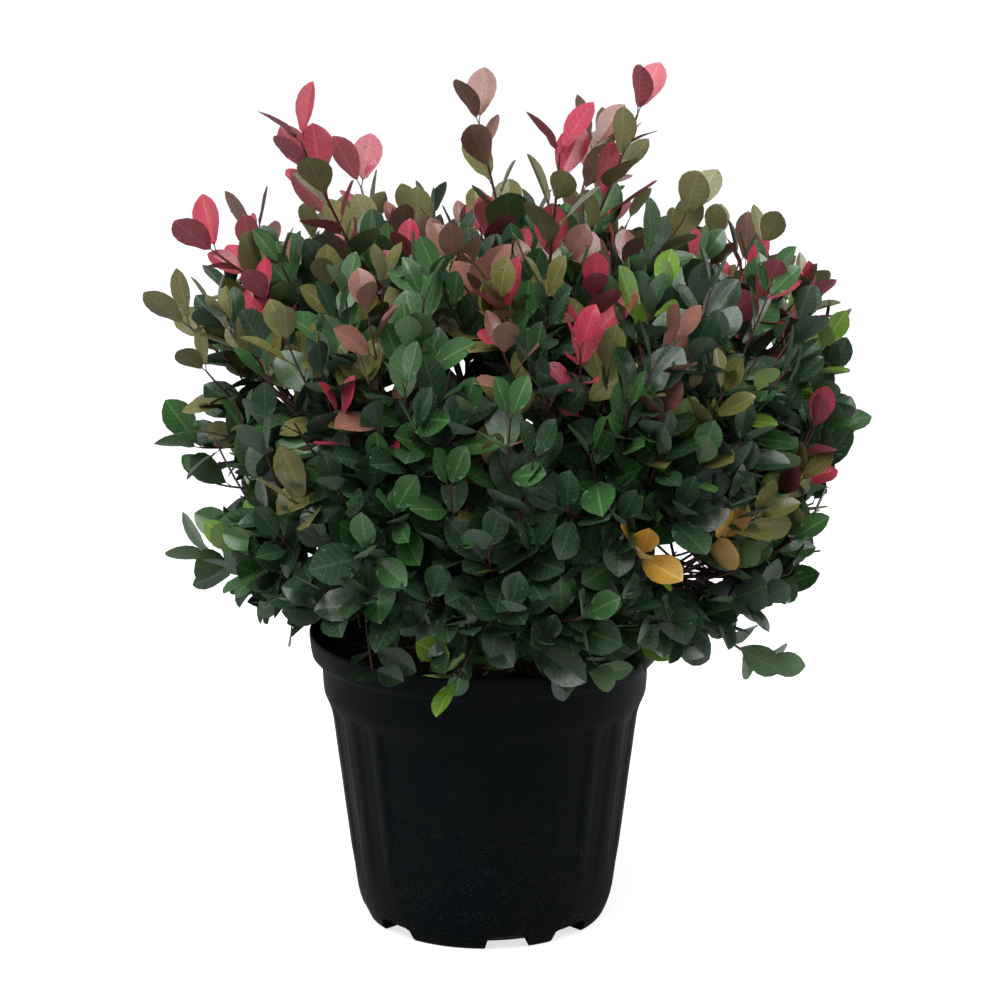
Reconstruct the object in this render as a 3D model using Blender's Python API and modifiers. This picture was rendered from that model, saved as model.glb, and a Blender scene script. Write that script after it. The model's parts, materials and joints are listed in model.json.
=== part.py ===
"""A small evergreen shrub with red young shoots, growing in a black nursery pot.

The frame is in metres, +Z up, with +X to the viewer's right and +Y away from the viewer. The origin is the
centre of the pot's flat underside. A short trunk stands on the compost and carries fifteen boughs in three
tiers. Each bough ends where it enters its own mass of foliage, and each mass keeps to its own wedge of the
crown, so that no two masses touch.
"""

import math
import random

import bmesh
import bpy
from mathutils import Matrix, Vector, noise

# Clearances between solids that stand on or beside each other
GAP = 0.0003
WEDGE_GAP = 0.0006

# The pot: radii and heights of its outer side
RIM_RADIUS = 0.140
POT_HEIGHT = 0.238
LIP_HEIGHT = 0.020
COLLAR_RADIUS = 0.1310
COLLAR_FOOT = 0.187
BODY_TOP = 0.171
BODY_TOP_RADIUS = 0.1232
BODY_FOOT = 0.030
BODY_FOOT_RADIUS = 0.1048
BASE_RADIUS = 0.0945
WALL = 0.0028
FLOOR = 0.0030
POT_STEPS = 60
INNER_STEPS = 30

# The panels that are pressed a little into the pot's body, counted in the pot's own steps round it
FRONT = -90.0
STEP = 360.0 / POT_STEPS
WIDE_PANEL = 14
FLUTE = 2
FLUTES_A_SIDE = 5
PANEL_TOP = 0.182
PANEL_FOOT = 0.036
PANEL_DEPTH = 0.0014

# The drain notches in the pot's foot, in pairs
NOTCH_PAIRS = 4
FIRST_PAIR = FRONT + 27.0
PAIR_SPREAD = 16.5
NOTCH_WIDTH = 0.034
NOTCH_HEIGHT = 0.010
NOTCH_BACK = 0.082
NOTCH_WALL = 0.0022
DRAIN_WIDTH = 0.014
DRAIN_HEIGHT = 0.0055

# The compost
COMPOST_TOP = 0.216
COMPOST_RELIEF = 0.0035
COMPOST_RINGS = 3

# The trunk
TRUNK_RADIUS = 0.0085
FLARE_RADIUS = 0.0165
FORK_RADIUS = 0.0125
FORK = Vector((0.0, 0.0, 0.262))
TRUNK_LEAN = 0.004

# The crown: it spreads from its heart, and round the heart the boughs are bare
HEART = Vector((0.010, 0.0, 0.325))
BARE_RADIUS = 0.086
REACH_LEFT = 0.248
REACH_RIGHT = 0.282
REACH_DEEP = 0.250
REACH_UP = 0.240
REACH_DOWN = 0.130
BOXINESS_UP = 6.0
BOXINESS_DOWN = 1.7

# The tiers of boughs: name, number, elevation of the mass, elevation at the fork, first azimuth
TIERS = (
    ("low", 7, -9.0, 4.0, -90.0),
    ("middle", 5, 27.0, 37.0, -54.0),
    ("top", 3, 66.0, 68.0, -60.0),
)
BOUGH_RADIUS = 0.0030
BOUGH_TIP_RADIUS = 0.0023
BOUGH_BEND = 0.034
BOUGH_STEPS = 5

# The twigs and leaves of a mass
STEM_SHARE = 0.66
STEM_TIP_RADIUS = 0.0012
TWIGS = 7
TWIG_SPREAD = 31.0
TWIG_RADIUS = 0.0013
TWIG_TIP_RADIUS = 0.0008
LEAVES_A_TWIG = 3
LEAVES_A_LEADER = 5
LEAF_LENGTH = 0.056
LEAF_WIDTH = 0.62
LEAF_WIDEST = 0.56
LEAF_THICKNESS = 0.020
LEAF_FOLD = 0.22
LEAF_ROOM = 0.036
LEAF_SPACING = 0.66
OVERSHOOT = 1.03
CORE_SHARE = 0.74
CORE_CLEARANCE = 0.004
GOLDEN_ANGLE = math.radians(137.508)
SEED = 7

# The long shoots that stand out of the crown: the place that each shoot's highest leaf tip reaches
LEADERS = {
    "red_left": (-0.147, -0.085, 0.679),
    "fork_left": (-0.106, 0.090, 0.621),
    "tall_middle": (-0.010, 0.055, 0.677),
    "fork_right": (0.058, -0.105, 0.674),
    "red_right": (0.094, 0.120, 0.647),
    "tall_right": (0.128, 0.010, 0.689),
    "spoon_right": (0.164, -0.120, 0.625),
    "shoulder_right": (0.221, 0.105, 0.553),
    "fork_far_right": (0.233, -0.075, 0.546),
    "far_right_high": (0.275, 0.030, 0.482),
    "far_right": (0.294, 0.000, 0.423),
    "far_right_low": (0.255, -0.020, 0.290),
    "low_right": (0.213, -0.070, 0.206),
    "shoulder_left": (-0.227, -0.060, 0.586),
    "high_left": (-0.195, 0.120, 0.573),
    "far_left_high": (-0.256, 0.040, 0.513),
    "far_left": (-0.255, -0.010, 0.412),
    "low_left": (-0.248, 0.000, 0.318),
    "back_left": (-0.154, 0.165, 0.617),
    "back_right": (0.112, 0.160, 0.629),
    "back": (0.010, 0.250, 0.480),
    "front": (0.010, -0.190, 0.560),
    "front_right": (0.130, -0.200, 0.480),
    "over_rim_left": (-0.085, -0.155, 0.226),
    "over_rim_middle": (-0.020, -0.172, 0.226),
    "over_rim_right": (0.075, -0.160, 0.226),
    "over_rim_back": (0.040, 0.170, 0.226),
}

COLOURS = {
    "pot": ((0.012, 0.014, 0.016), 0.45),
    "compost": ((0.030, 0.020, 0.014), 0.95),
    "bark": ((0.110, 0.060, 0.045), 0.80),
    "low": ((0.020, 0.062, 0.026), 0.40),
    "middle": ((0.040, 0.085, 0.028), 0.40),
    "top": ((0.120, 0.075, 0.035), 0.40),
}


# Scene and mesh helpers


def clear_scene():
    for obj in list(bpy.data.objects):
        bpy.data.objects.remove(obj)


def new_collection(name):
    made = bpy.data.collections.new(name)
    bpy.context.scene.collection.children.link(made)
    return made


def finish(name):
    """The material of one kind of sub-part."""
    made = bpy.data.materials.get(name)
    if made is None:
        colour, roughness = COLOURS[name]
        made = bpy.data.materials.new(name)
        made.use_nodes = True
        shader = made.node_tree.nodes["Principled BSDF"]
        shader.inputs["Base Color"].default_value = (*colour, 1.0)
        shader.inputs["Roughness"].default_value = roughness
        shader.inputs["Metallic"].default_value = 0.0
        made.diffuse_color = (*colour, 1.0)
    return made


def add_object(name, data, collection, material=None):
    made = bpy.data.objects.new(name, data)
    collection.objects.link(made)
    if material:
        data.materials.clear()
        data.materials.append(finish(material))
    return made


def mesh_from(bm, name):
    made = bpy.data.meshes.new(name)
    bm.to_mesh(made)
    bm.free()
    return made


def applied(obj):
    """The object with its modifiers, or its curve, made a plain mesh with its doubles merged."""
    bpy.context.view_layer.update()
    graph = bpy.context.evaluated_depsgraph_get()
    mesh = bpy.data.meshes.new_from_object(obj.evaluated_get(graph))
    mesh.transform(obj.matrix_world)
    bm = bmesh.new()
    bm.from_mesh(mesh)
    bmesh.ops.remove_doubles(bm, verts=bm.verts, dist=1e-6)
    bm.to_mesh(mesh)
    bm.free()
    name, collection = obj.name, obj.users_collection[0]
    bpy.data.objects.remove(obj)
    made = bpy.data.objects.new(name, mesh)
    collection.objects.link(made)
    return made


def turned(name, outline, steps, collection):
    """A solid of revolution from (radius, height) points that run down its outer side."""
    mesh = bpy.data.meshes.new(name)
    places = [(radius, 0.0, height) for radius, height in outline]
    mesh.from_pydata(places, [(i, i + 1) for i in range(len(places) - 1)], [])
    obj = bpy.data.objects.new(name, mesh)
    collection.objects.link(obj)
    screw = obj.modifiers.new("Turn", "SCREW")
    screw.steps = screw.render_steps = steps
    screw.use_merge_vertices = True
    screw.merge_threshold = 0.00002
    screw.use_smooth_shade = False
    return applied(obj)


def sector(name, outline, start, steps, collection):
    """The solid that a closed outline of (radius, height) points sweeps over some of the pot's steps."""
    bm = bmesh.new()
    turn = Matrix.Rotation(math.radians(start), 3, "Z")
    ring = [bm.verts.new(turn @ Vector((radius, 0.0, height))) for radius, height in outline]
    face = bm.faces.new(ring)
    bmesh.ops.spin(
        bm,
        geom=[face, *face.verts, *face.edges],
        axis=(0.0, 0.0, 1.0),
        cent=(0.0, 0.0, 0.0),
        angle=math.radians(steps * STEP),
        steps=steps,
        use_duplicate=False,
    )
    bmesh.ops.remove_doubles(bm, verts=bm.verts, dist=1e-6)
    bmesh.ops.recalc_face_normals(bm, faces=bm.faces)
    return add_object(name, mesh_from(bm, name), collection)


def box(name, low, high, azimuth, collection):
    """A box from corner to corner, then turned about the pot's axis."""
    low, high = Vector(low), Vector(high)
    bm = bmesh.new()
    place = (
        Matrix.Rotation(math.radians(azimuth), 4, "Z")
        @ Matrix.Translation((low + high) / 2)
        @ Matrix.Diagonal((*(high - low), 1.0))
    )
    bmesh.ops.create_cube(bm, size=1.0, matrix=place)
    return add_object(name, mesh_from(bm, name), collection)


def boolean(obj, operation, cutters):
    """The object joined with, or cut by, all of a collection, whose objects are then removed."""
    change = obj.modifiers.new(operation.title(), "BOOLEAN")
    change.operation = operation
    change.operand_type = "COLLECTION"
    change.collection = cutters
    change.solver = "EXACT"
    made = applied(obj)
    for used in list(cutters.objects):
        bpy.data.objects.remove(used)
    return made


def keep_one_body(obj):
    """Drops loose scraps, and fills sealed hollows, by keeping only the largest shell of faces."""
    bm = bmesh.new()
    bm.from_mesh(obj.data)
    left, shells = set(bm.faces), []
    while left:
        shell = [left.pop()]
        for face in shell:
            for edge in face.edges:
                fresh = [other for other in edge.link_faces if other in left and edge.is_manifold]
                left.difference_update(fresh)
                shell.extend(fresh)
        shells.append(shell)
    largest = max(shells, key=len)
    doomed = [face for shell in shells if shell is not largest for face in shell]
    bmesh.ops.delete(bm, geom=doomed, context="FACES")
    bm.to_mesh(obj.data)
    bm.free()
    return obj


# Curves through the crown


def polygon_profile(sides, collection):
    """A hidden unit polygon that gives a limb its number of sides."""
    curve = bpy.data.curves.new(f"profile_{sides}", "CURVE")
    spline = curve.splines.new("POLY")
    spline.points.add(sides - 1)
    for i, point in enumerate(spline.points):
        turn = 2 * math.pi * i / sides
        point.co = (math.cos(turn), math.sin(turn), 0.0, 1.0)
    spline.use_cyclic_u = True
    obj = bpy.data.objects.new(curve.name, curve)
    obj.hide_render = True
    obj.display_type = "WIRE"
    collection.objects.link(obj)
    return obj


def limb(name, places, radii, profile, collection):
    """A tapering limb through the places, as a curve with filled ends, then made a mesh."""
    curve = bpy.data.curves.new(name, "CURVE")
    curve.dimensions = "3D"
    curve.bevel_mode = "OBJECT"
    curve.bevel_object = profile
    curve.use_fill_caps = True
    spline = curve.splines.new("POLY")
    spline.points.add(len(places) - 1)
    for point, place, radius in zip(spline.points, places, radii):
        point.co = (*place, 1.0)
        point.radius = radius
    obj = bpy.data.objects.new(name, curve)
    collection.objects.link(obj)
    made = applied(obj)
    bm = bmesh.new()
    bm.from_mesh(made.data)
    bmesh.ops.recalc_face_normals(bm, faces=bm.faces)
    bm.to_mesh(made.data)
    bm.free()
    return made


def bezier(controls, count):
    """Points along a Bezier curve of any degree."""
    made = []
    for i in range(count + 1):
        places = list(controls)
        while len(places) > 1:
            places = [a.lerp(b, i / count) for a, b in zip(places, places[1:])]
        made.append(places[0])
    return made


def along(places, share):
    """The place and the tangent at a share of a line's points."""
    at = min(share * (len(places) - 1), len(places) - 1.001)
    i = int(at)
    return places[i].lerp(places[i + 1], at - i), (places[i + 1] - places[i]).normalized()


def tapering(first, last, count):
    return [first + (last - first) * i / count for i in range(count + 1)]


def direction(azimuth, elevation):
    a, e = math.radians(azimuth), math.radians(elevation)
    return Vector((math.cos(a) * math.cos(e), math.sin(a) * math.cos(e), math.sin(e)))


def across(axis):
    """Two directions square to an axis and to each other."""
    first = axis.cross(Vector((0.0, 0.0, 1.0)))
    if first.length < 0.1:
        first = axis.cross(Vector((1.0, 0.0, 0.0)))
    first.normalize()
    return first, axis.cross(first)


# The pot


def body_radius(height):
    """The outer radius of the pot's tapering body."""
    share = (height - BODY_FOOT) / (BODY_TOP - BODY_FOOT)
    return BODY_FOOT_RADIUS + share * (BODY_TOP_RADIUS - BODY_FOOT_RADIUS)


def outer_outline():
    lip_foot = POT_HEIGHT - LIP_HEIGHT
    return (
        (0.0, POT_HEIGHT),
        (RIM_RADIUS - 0.0015, POT_HEIGHT),
        (RIM_RADIUS, POT_HEIGHT - 0.0015),
        (RIM_RADIUS - 0.0020, lip_foot),
        (COLLAR_RADIUS, lip_foot - 0.0015),
        (COLLAR_RADIUS - 0.0015, COLLAR_FOOT),
        (BODY_TOP_RADIUS, BODY_TOP),
        (BODY_FOOT_RADIUS, BODY_FOOT),
        (BODY_FOOT_RADIUS - 0.0026, 0.016),
        (BASE_RADIUS + 0.0030, 0.0045),
        (BASE_RADIUS, 0.0),
        (0.0, 0.0),
    )


def notch_azimuths():
    made = []
    for i in range(NOTCH_PAIRS):
        middle = FIRST_PAIR + 360.0 / NOTCH_PAIRS * i
        made += [middle - PAIR_SPREAD, middle + PAIR_SPREAD]
    return made


def inside_of_pot(name, clearance, rings, collection):
    """The space inside the pot, drawn in by a clearance, below its top rings of (radius, height)."""
    outline = [
        *rings,
        (COLLAR_RADIUS - 0.0015 - WALL - clearance, COLLAR_FOOT + 0.008),
        (body_radius(COLLAR_FOOT) - WALL - clearance, COLLAR_FOOT),
        (BODY_FOOT_RADIUS - WALL - clearance, BODY_FOOT),
        (BASE_RADIUS - WALL - clearance, FLOOR + 0.006),
        (BASE_RADIUS - WALL - 0.005 - clearance, FLOOR + clearance),
        (0.0, FLOOR + clearance),
    ]
    space = turned(name, outline, INNER_STEPS, collection)
    pockets = new_collection(f"{name}_pockets")
    side = NOTCH_WIDTH / 2 + NOTCH_WALL + clearance
    for i, azimuth in enumerate(notch_azimuths()):
        low = (NOTCH_BACK - NOTCH_WALL - clearance, -side, -0.01)
        high = (RIM_RADIUS, side, NOTCH_HEIGHT + NOTCH_WALL + clearance)
        box(f"{name}_pocket_{i}", low, high, azimuth, pockets)
    return boolean(space, "DIFFERENCE", pockets)


def panel_cutters(collection):
    """The shallow panels and flutes round the body, which fade out towards the foot."""
    outline = (
        (body_radius(PANEL_TOP) - PANEL_DEPTH, PANEL_TOP),
        (body_radius(PANEL_TOP) + 0.003, PANEL_TOP),
        (body_radius(PANEL_FOOT) + 0.003, PANEL_FOOT),
        (body_radius(PANEL_FOOT) - PANEL_DEPTH / 5, PANEL_FOOT),
    )
    for side in range(2):
        start = FRONT + 180.0 * side - STEP * WIDE_PANEL / 2
        sector(f"wide_panel_{side}", outline, start, WIDE_PANEL, collection)
        for i in range(FLUTES_A_SIDE):
            steps = WIDE_PANEL + 1 + (FLUTE + 1) * i
            sector(f"flute_{side}_{i}", outline, start + STEP * steps, FLUTE, collection)


def build_pot(parts):
    pot = turned("pot", outer_outline(), POT_STEPS, parts)
    cutters = new_collection("pot_cutters")
    # the lip is open at the top, so the inner space runs on above it
    rings = [(0.0, POT_HEIGHT + 0.01), (RIM_RADIUS - WALL - 0.0005, POT_HEIGHT + 0.01)]
    rings.append((RIM_RADIUS - WALL - 0.0005, POT_HEIGHT - 0.001))
    rings.append((COLLAR_RADIUS - WALL, POT_HEIGHT - LIP_HEIGHT - 0.0015))
    inside_of_pot("hollow", 0.0, rings, cutters)
    panel_cutters(cutters)
    for i, azimuth in enumerate(notch_azimuths()):
        low, high = (NOTCH_BACK, -NOTCH_WIDTH / 2, -0.01), (RIM_RADIUS, NOTCH_WIDTH / 2, NOTCH_HEIGHT)
        box(f"notch_{i}", low, high, azimuth, cutters)
        low = (NOTCH_BACK - 3 * NOTCH_WALL, -DRAIN_WIDTH / 2, FLOOR + 0.0006)
        high = (NOTCH_BACK + 0.004, DRAIN_WIDTH / 2, FLOOR + DRAIN_HEIGHT)
        box(f"drain_{i}", low, high, azimuth, cutters)
    pot = boolean(pot, "DIFFERENCE", cutters)
    pot.data.materials.append(finish("pot"))
    return pot


def build_compost(parts):
    edge, flat = COLLAR_RADIUS - 0.0005 - WALL - GAP, FLARE_RADIUS + 0.003
    shares = [i / COMPOST_RINGS for i in range(COMPOST_RINGS + 1)]
    rings = [(0.0, COMPOST_TOP), *((flat + share * (edge - flat), COMPOST_TOP) for share in shares)]
    compost = inside_of_pot("compost", GAP, rings, parts)
    for vert in compost.data.vertices:
        radius = math.hypot(vert.co.x, vert.co.y)
        if vert.co.z > COMPOST_TOP - 1e-4 and radius > flat + 0.001:
            lump = noise.noise(vert.co * 38.0) + 0.5 * noise.noise(vert.co * 90.0)
            vert.co.z += COMPOST_RELIEF * lump
    compost.data.materials.append(finish("compost"))
    return compost


# The trunk and the boughs


def build_trunk(parts, profile):
    foot = Vector((-TRUNK_LEAN, 0.0, COMPOST_TOP + GAP))
    rise = FORK.z - foot.z
    shares = (0.0, 0.12, 0.32, 0.62, 0.80, 1.0, 1.15, 1.25)
    radii = (
        FLARE_RADIUS,
        FLARE_RADIUS * 0.74,
        TRUNK_RADIUS * 1.08,
        TRUNK_RADIUS,
        FORK_RADIUS * 0.82,
        FORK_RADIUS * 0.98,
        FORK_RADIUS * 0.80,
        FORK_RADIUS * 0.30,
    )
    places = [
        Vector((foot.x * max(0.0, 1.0 - share) ** 1.5, 0.0, foot.z + rise * share))
        for share in shares
    ]
    trunk = limb("trunk", places, radii, profile, parts)
    for vert in trunk.data.vertices:
        if vert.co.z < foot.z + 0.003:
            vert.co.z = foot.z
    trunk.data.materials.append(finish("bark"))
    return trunk


def clear_of_pot(place):
    return place.z > POT_HEIGHT + 0.004 or math.hypot(place.x, place.y) > RIM_RADIUS + 0.004


class Mass:
    """One mass of foliage: its name, its axis from the heart of the crown, and its neighbours' axes."""

    def __init__(self, tier, number, azimuth, elevation, fork_elevation):
        self.tier = tier
        self.label = f"{tier}_{number}"
        self.axis = direction(azimuth, elevation)
        self.fork_way = direction(azimuth, fork_elevation)
        self.sides = []
        self.leaders = []
        self.leaves = []

    def meet(self, masses):
        """The planes between this wedge of the crown and the others, all of them through the heart."""
        self.sides = [(self.axis - m.axis).normalized() for m in masses if m is not self]

    def holds(self, places, clearance=WEDGE_GAP):
        """Whether all the places lie in this mass's own wedge, outside the bare heart and off the pot."""
        for place in places:
            away = place - HEART
            if away.dot(self.axis) < BARE_RADIUS + clearance:
                return False
            if any(away.dot(side) < clearance for side in self.sides):
                return False
        return all(clear_of_pot(a.lerp(b, 0.5)) for a in places for b in places)


def reach(way):
    """How far the crown spreads from its heart along a direction."""
    sideways = REACH_RIGHT if way.x > 0 else REACH_LEFT
    upwards = REACH_UP if way.z > 0 else REACH_DOWN
    boxiness = BOXINESS_UP if way.z > 0 else BOXINESS_DOWN
    level = math.hypot(way.x / sideways, way.y / REACH_DEEP)
    return (level**boxiness + abs(way.z / upwards) ** boxiness) ** (-1.0 / boxiness)


def in_crown(places, share=OVERSHOOT):
    for place in places:
        away = place - HEART
        if away.length > share * reach(away.normalized()):
            return False
    return True


def lay_out_masses():
    masses = []
    for tier, count, elevation, fork_elevation, first in TIERS:
        for i in range(count):
            masses.append(Mass(tier, i + 1, first + 360.0 / count * i, elevation, fork_elevation))
    for mass in masses:
        mass.meet(masses)
    for place in LEADERS.values():
        tip = Vector(place)
        way = (tip - HEART).normalized()
        max(masses, key=lambda m: m.axis.dot(way)).leaders.append(tip)
    return masses


def build_bough(mass, parts, profile):
    """A bough leaves the fork of the trunk, bends outwards, and ends at the foot of its mass."""
    start = FORK + mass.fork_way * (FORK_RADIUS + 2 * GAP)
    end = HEART + mass.axis * (BARE_RADIUS - GAP / 2)
    controls = [start, start + mass.fork_way * BOUGH_BEND, end - mass.axis * BOUGH_BEND, end]
    places = bezier(controls, BOUGH_STEPS)
    radii = tapering(BOUGH_RADIUS, BOUGH_TIP_RADIUS, BOUGH_STEPS)
    bough = limb(f"bough_{mass.label}", places, radii, profile, parts)
    bough.data.materials.append(finish("bark"))
    return bough


# The foliage


def leaf_places(root, axis, face, length):
    """The corners of a folded leaf: its upper and lower middle, then its root, side, tip and side."""
    side = axis.cross(face).normalized()
    half, thick = length * LEAF_WIDTH / 2, length * LEAF_THICKNESS
    middle = root + axis * (length * LEAF_WIDEST)
    rise = face * (LEAF_FOLD * half)
    places = [middle + face * (thick / 2), middle - face * (thick / 2)]
    places += [root, middle + side * half + rise]
    places += [root + axis * length - face * (0.10 * length), middle - side * half + rise]
    return places


def add_leaf(name, places, collection):
    """A closed leaf of eight faces."""
    bm = bmesh.new()
    above, below, *ring = [bm.verts.new(place) for place in places]
    for first, second in zip(ring, ring[1:] + ring[:1]):
        bm.faces.new((first, second, above))
        bm.faces.new((second, first, below))
    bmesh.ops.recalc_face_normals(bm, faces=bm.faces)
    return add_object(name, mesh_from(bm, name), collection)


def leaf_face(axis, place, rng):
    """The way a leaf's upper side looks: to the sky and out of the crown, and a little any way."""
    out = (place - HEART).normalized()
    stray = Vector(rng.gauss(0.0, 1.0) for _ in range(3))
    face = Vector((0.0, 0.0, 0.45)) + out * 0.60 + stray * 0.30
    face -= axis * face.dot(axis)
    return face.normalized() if face.length > 0.05 else across(axis)[0]


def short_of(tip):
    """A test that leaves of a long shoot reach no farther out of the crown than the shoot's own tip."""
    way = (tip - HEART).normalized()
    far = (tip - HEART).length + 0.003
    return lambda places: all((place - HEART).dot(way) < far for place in places)


def grow_leaf(name, mass, place, tangent, turn, opening, length, bound, rng, collection):
    """A leaf whose root is sunk in its twig. It is turned until it fits its room, or else left out."""
    first, second = across(tangent)
    for extra in (0.0, 0.8, -0.8, 1.6, -1.6, 2.4, -2.4, 3.1):
        sideways = first * math.cos(turn + extra) + second * math.sin(turn + extra)
        axis = (tangent * math.cos(opening) + sideways * math.sin(opening)).normalized()
        root = place - axis * (2.2 * TWIG_RADIUS)
        places = leaf_places(root, axis, leaf_face(axis, place, rng), length)
        clear = all((places[0] - other).length > LEAF_SPACING * length for other in mass.leaves)
        clear = clear and not in_crown(places[:1], CORE_SHARE)
        if clear and mass.holds(places) and bound(places):
            add_leaf(name, places, collection)
            mass.leaves.append(places[0])
            return


def grow_twig(label, mass, places, leaves, bound, rng, profile, collection):
    """A twig with leaves turned one after another by the golden angle, and a pair at its tip."""
    count = len(places) - 1
    limb(f"{label}_twig", places, tapering(TWIG_RADIUS, TWIG_TIP_RADIUS, count), profile, collection)
    turn = rng.uniform(0.0, 2.0 * math.pi)
    for i in range(2):
        place, tangent = along(places, 0.985)
        length = LEAF_LENGTH * 0.8
        opening = math.radians(20.0 + 12.0 * i)
        name = f"{label}_tip_{i}"
        grow_leaf(name, mass, place, tangent, turn + math.pi * i, opening, length, bound, rng, collection)
    for i in range(leaves):
        turn += GOLDEN_ANGLE
        place, tangent = along(places, 0.92 - 0.42 * i / max(1, leaves - 1))
        length = LEAF_LENGTH * rng.uniform(0.88, 1.12)
        opening = math.radians(rng.uniform(48.0, 66.0))
        name = f"{label}_leaf_{i}"
        grow_leaf(name, mass, place, tangent, turn, opening, length, bound, rng, collection)


def twig_line(mass, start, tip, sag):
    """A twig leaves its stem outwards and turns up towards its tip, unless that leaves its room."""
    middle = start.lerp(tip, 0.5) - Vector((0.0, 0.0, sag * (tip - start).length))
    if not mass.holds([middle], 3 * TWIG_RADIUS):
        middle = start.lerp(tip, 0.5)
    return bezier([start, middle, tip], 2)


def twig_tips(mass, rng):
    """The tips of a mass's twigs, dealt round its axis by the golden angle."""
    first, second = across(mass.axis)
    tips = []
    for k in range(TWIGS):
        spread = math.tan(math.radians(TWIG_SPREAD) * math.sqrt((k + 0.3) / TWIGS))
        turn = k * GOLDEN_ANGLE
        for _ in range(12):
            way = mass.axis + (first * math.cos(turn) + second * math.sin(turn)) * spread
            way.normalize()
            tip = HEART + way * (reach(way) - LEAF_ROOM * rng.uniform(0.8, 1.2))
            if mass.holds([tip], 0.012):
                tips.append(tip)
                break
            spread *= 0.88
    return tips


def add_core(mass, rng, collection):
    """The dense inside of a mass: a lumpy ball swollen to fill its room, that the leaves stand out of."""
    middle = HEART + mass.axis * ((BARE_RADIUS + reach(mass.axis) * CORE_SHARE) / 2)
    bm = bmesh.new()
    bmesh.ops.create_icosphere(bm, subdivisions=2, radius=1.0)
    for vert in bm.verts:
        way = vert.co.normalized()
        far = 0.004
        while True:
            place = middle + way * (far + 0.003)
            above = place.z > POT_HEIGHT + 3 * CORE_CLEARANCE
            if not (above and mass.holds([place], CORE_CLEARANCE) and in_crown([place], CORE_SHARE)):
                break
            far += 0.003
        vert.co = middle + way * (far * rng.uniform(0.86, 1.0))
    add_object(f"{mass.label}_core", mesh_from(bm, "core"), collection)


def build_mass(mass, parts, profiles):
    rng = random.Random(f"{SEED} {mass.label}")
    pieces = new_collection(f"{mass.label}_pieces")
    foot = HEART + mass.axis * (BARE_RADIUS + GAP / 2 + WEDGE_GAP)
    head = HEART + mass.axis * (reach(mass.axis) * STEM_SHARE)
    stem = bezier([foot, head], 2)
    stem_radii = tapering(BOUGH_TIP_RADIUS, STEM_TIP_RADIUS, 2)
    base = limb(f"foliage_{mass.label}", stem, stem_radii, profiles[5], parts)
    add_core(mass, rng, pieces)
    for k, place in enumerate(mass.leaders):
        start, _ = along(stem, 0.75)
        tip = place - ((place - start).normalized() + Vector((0.0, 0.0, 0.7))).normalized() * (0.72 * LEAF_LENGTH)
        line = twig_line(mass, start, tip, 0.12)
        label = f"{mass.label}_leader_{k}"
        grow_twig(label, mass, line, LEAVES_A_LEADER, short_of(place), rng, profiles[3], pieces)
    for k, tip in enumerate(twig_tips(mass, rng)):
        start, _ = along(stem, 0.90 - 0.50 * k / TWIGS)
        line = twig_line(mass, start, tip, 0.08)
        grow_twig(f"{mass.label}_{k}", mass, line, LEAVES_A_TWIG, in_crown, rng, profiles[3], pieces)
    made = keep_one_body(boolean(base, "UNION", pieces))
    print(made.name, len(mass.leaves), "leaves")
    made.data.materials.clear()
    made.data.materials.append(finish(mass.tier))
    return made


def main():
    clear_scene()
    parts = new_collection("potted_shrub")
    guides = new_collection("guides")
    profiles = {sides: polygon_profile(sides, guides) for sides in (3, 5, 12)}
    build_pot(parts)
    build_compost(parts)
    build_trunk(parts, profiles[12])
    for mass in lay_out_masses():
        build_bough(mass, parts, profiles[5])
        build_mass(mass, parts, profiles)


main()
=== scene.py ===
# %% [markdown]
# # A young red-tipped shrub in its nursery pot
# This lesson dresses a small evergreen shrub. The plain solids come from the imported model: a pot, the
# compost in it, a trunk, and boughs that each carry one mass of foliage. Every mass is grown again here by
# the rule that made its solid, and then carried on to finer shoots, so that the leaves fill the same space.

# %% Load the frame
import json
import math
import random

import bmesh
import bpy
import numpy as np
from bpy_extras.object_utils import world_to_camera_view
from mathutils import Matrix, Vector, noise

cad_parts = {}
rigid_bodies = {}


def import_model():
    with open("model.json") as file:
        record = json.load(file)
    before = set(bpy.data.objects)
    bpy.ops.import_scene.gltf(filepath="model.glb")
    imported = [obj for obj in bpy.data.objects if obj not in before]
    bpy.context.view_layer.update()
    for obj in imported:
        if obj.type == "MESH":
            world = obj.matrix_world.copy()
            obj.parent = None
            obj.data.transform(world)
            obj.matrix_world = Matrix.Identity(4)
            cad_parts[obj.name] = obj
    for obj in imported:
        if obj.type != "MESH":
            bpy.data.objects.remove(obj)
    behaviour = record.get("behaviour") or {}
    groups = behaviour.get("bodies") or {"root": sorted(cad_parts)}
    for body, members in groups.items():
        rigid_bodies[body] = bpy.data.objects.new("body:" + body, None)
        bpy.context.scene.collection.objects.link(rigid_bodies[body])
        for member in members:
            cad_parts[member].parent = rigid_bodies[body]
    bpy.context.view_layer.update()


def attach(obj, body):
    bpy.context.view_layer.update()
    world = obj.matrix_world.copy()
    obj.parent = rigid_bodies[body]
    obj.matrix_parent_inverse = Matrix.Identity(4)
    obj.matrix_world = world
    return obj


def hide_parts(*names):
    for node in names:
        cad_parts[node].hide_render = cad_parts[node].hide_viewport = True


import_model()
scene = bpy.context.scene

# %% [markdown]
# ## The camera, the floor and the light
# The photograph was taken from in front and a little above, with a long lens, so the view looks down by about
# fourteen degrees. A perspective camera at that place gives the pot's rim its shallow oval. The floor and the
# backdrop are plain and pale, and large soft lamps stand in for an overcast sky: leaves are glossy, and a small
# hard lamp would cover them in sharp sparks.

# %% Camera
CAMERA_PLACE = (0.0, -2.6, 0.998)
CAMERA_PITCH = 14.147
CAMERA_PAN = 0.266
CAMERA_LENS = 121.6

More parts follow.
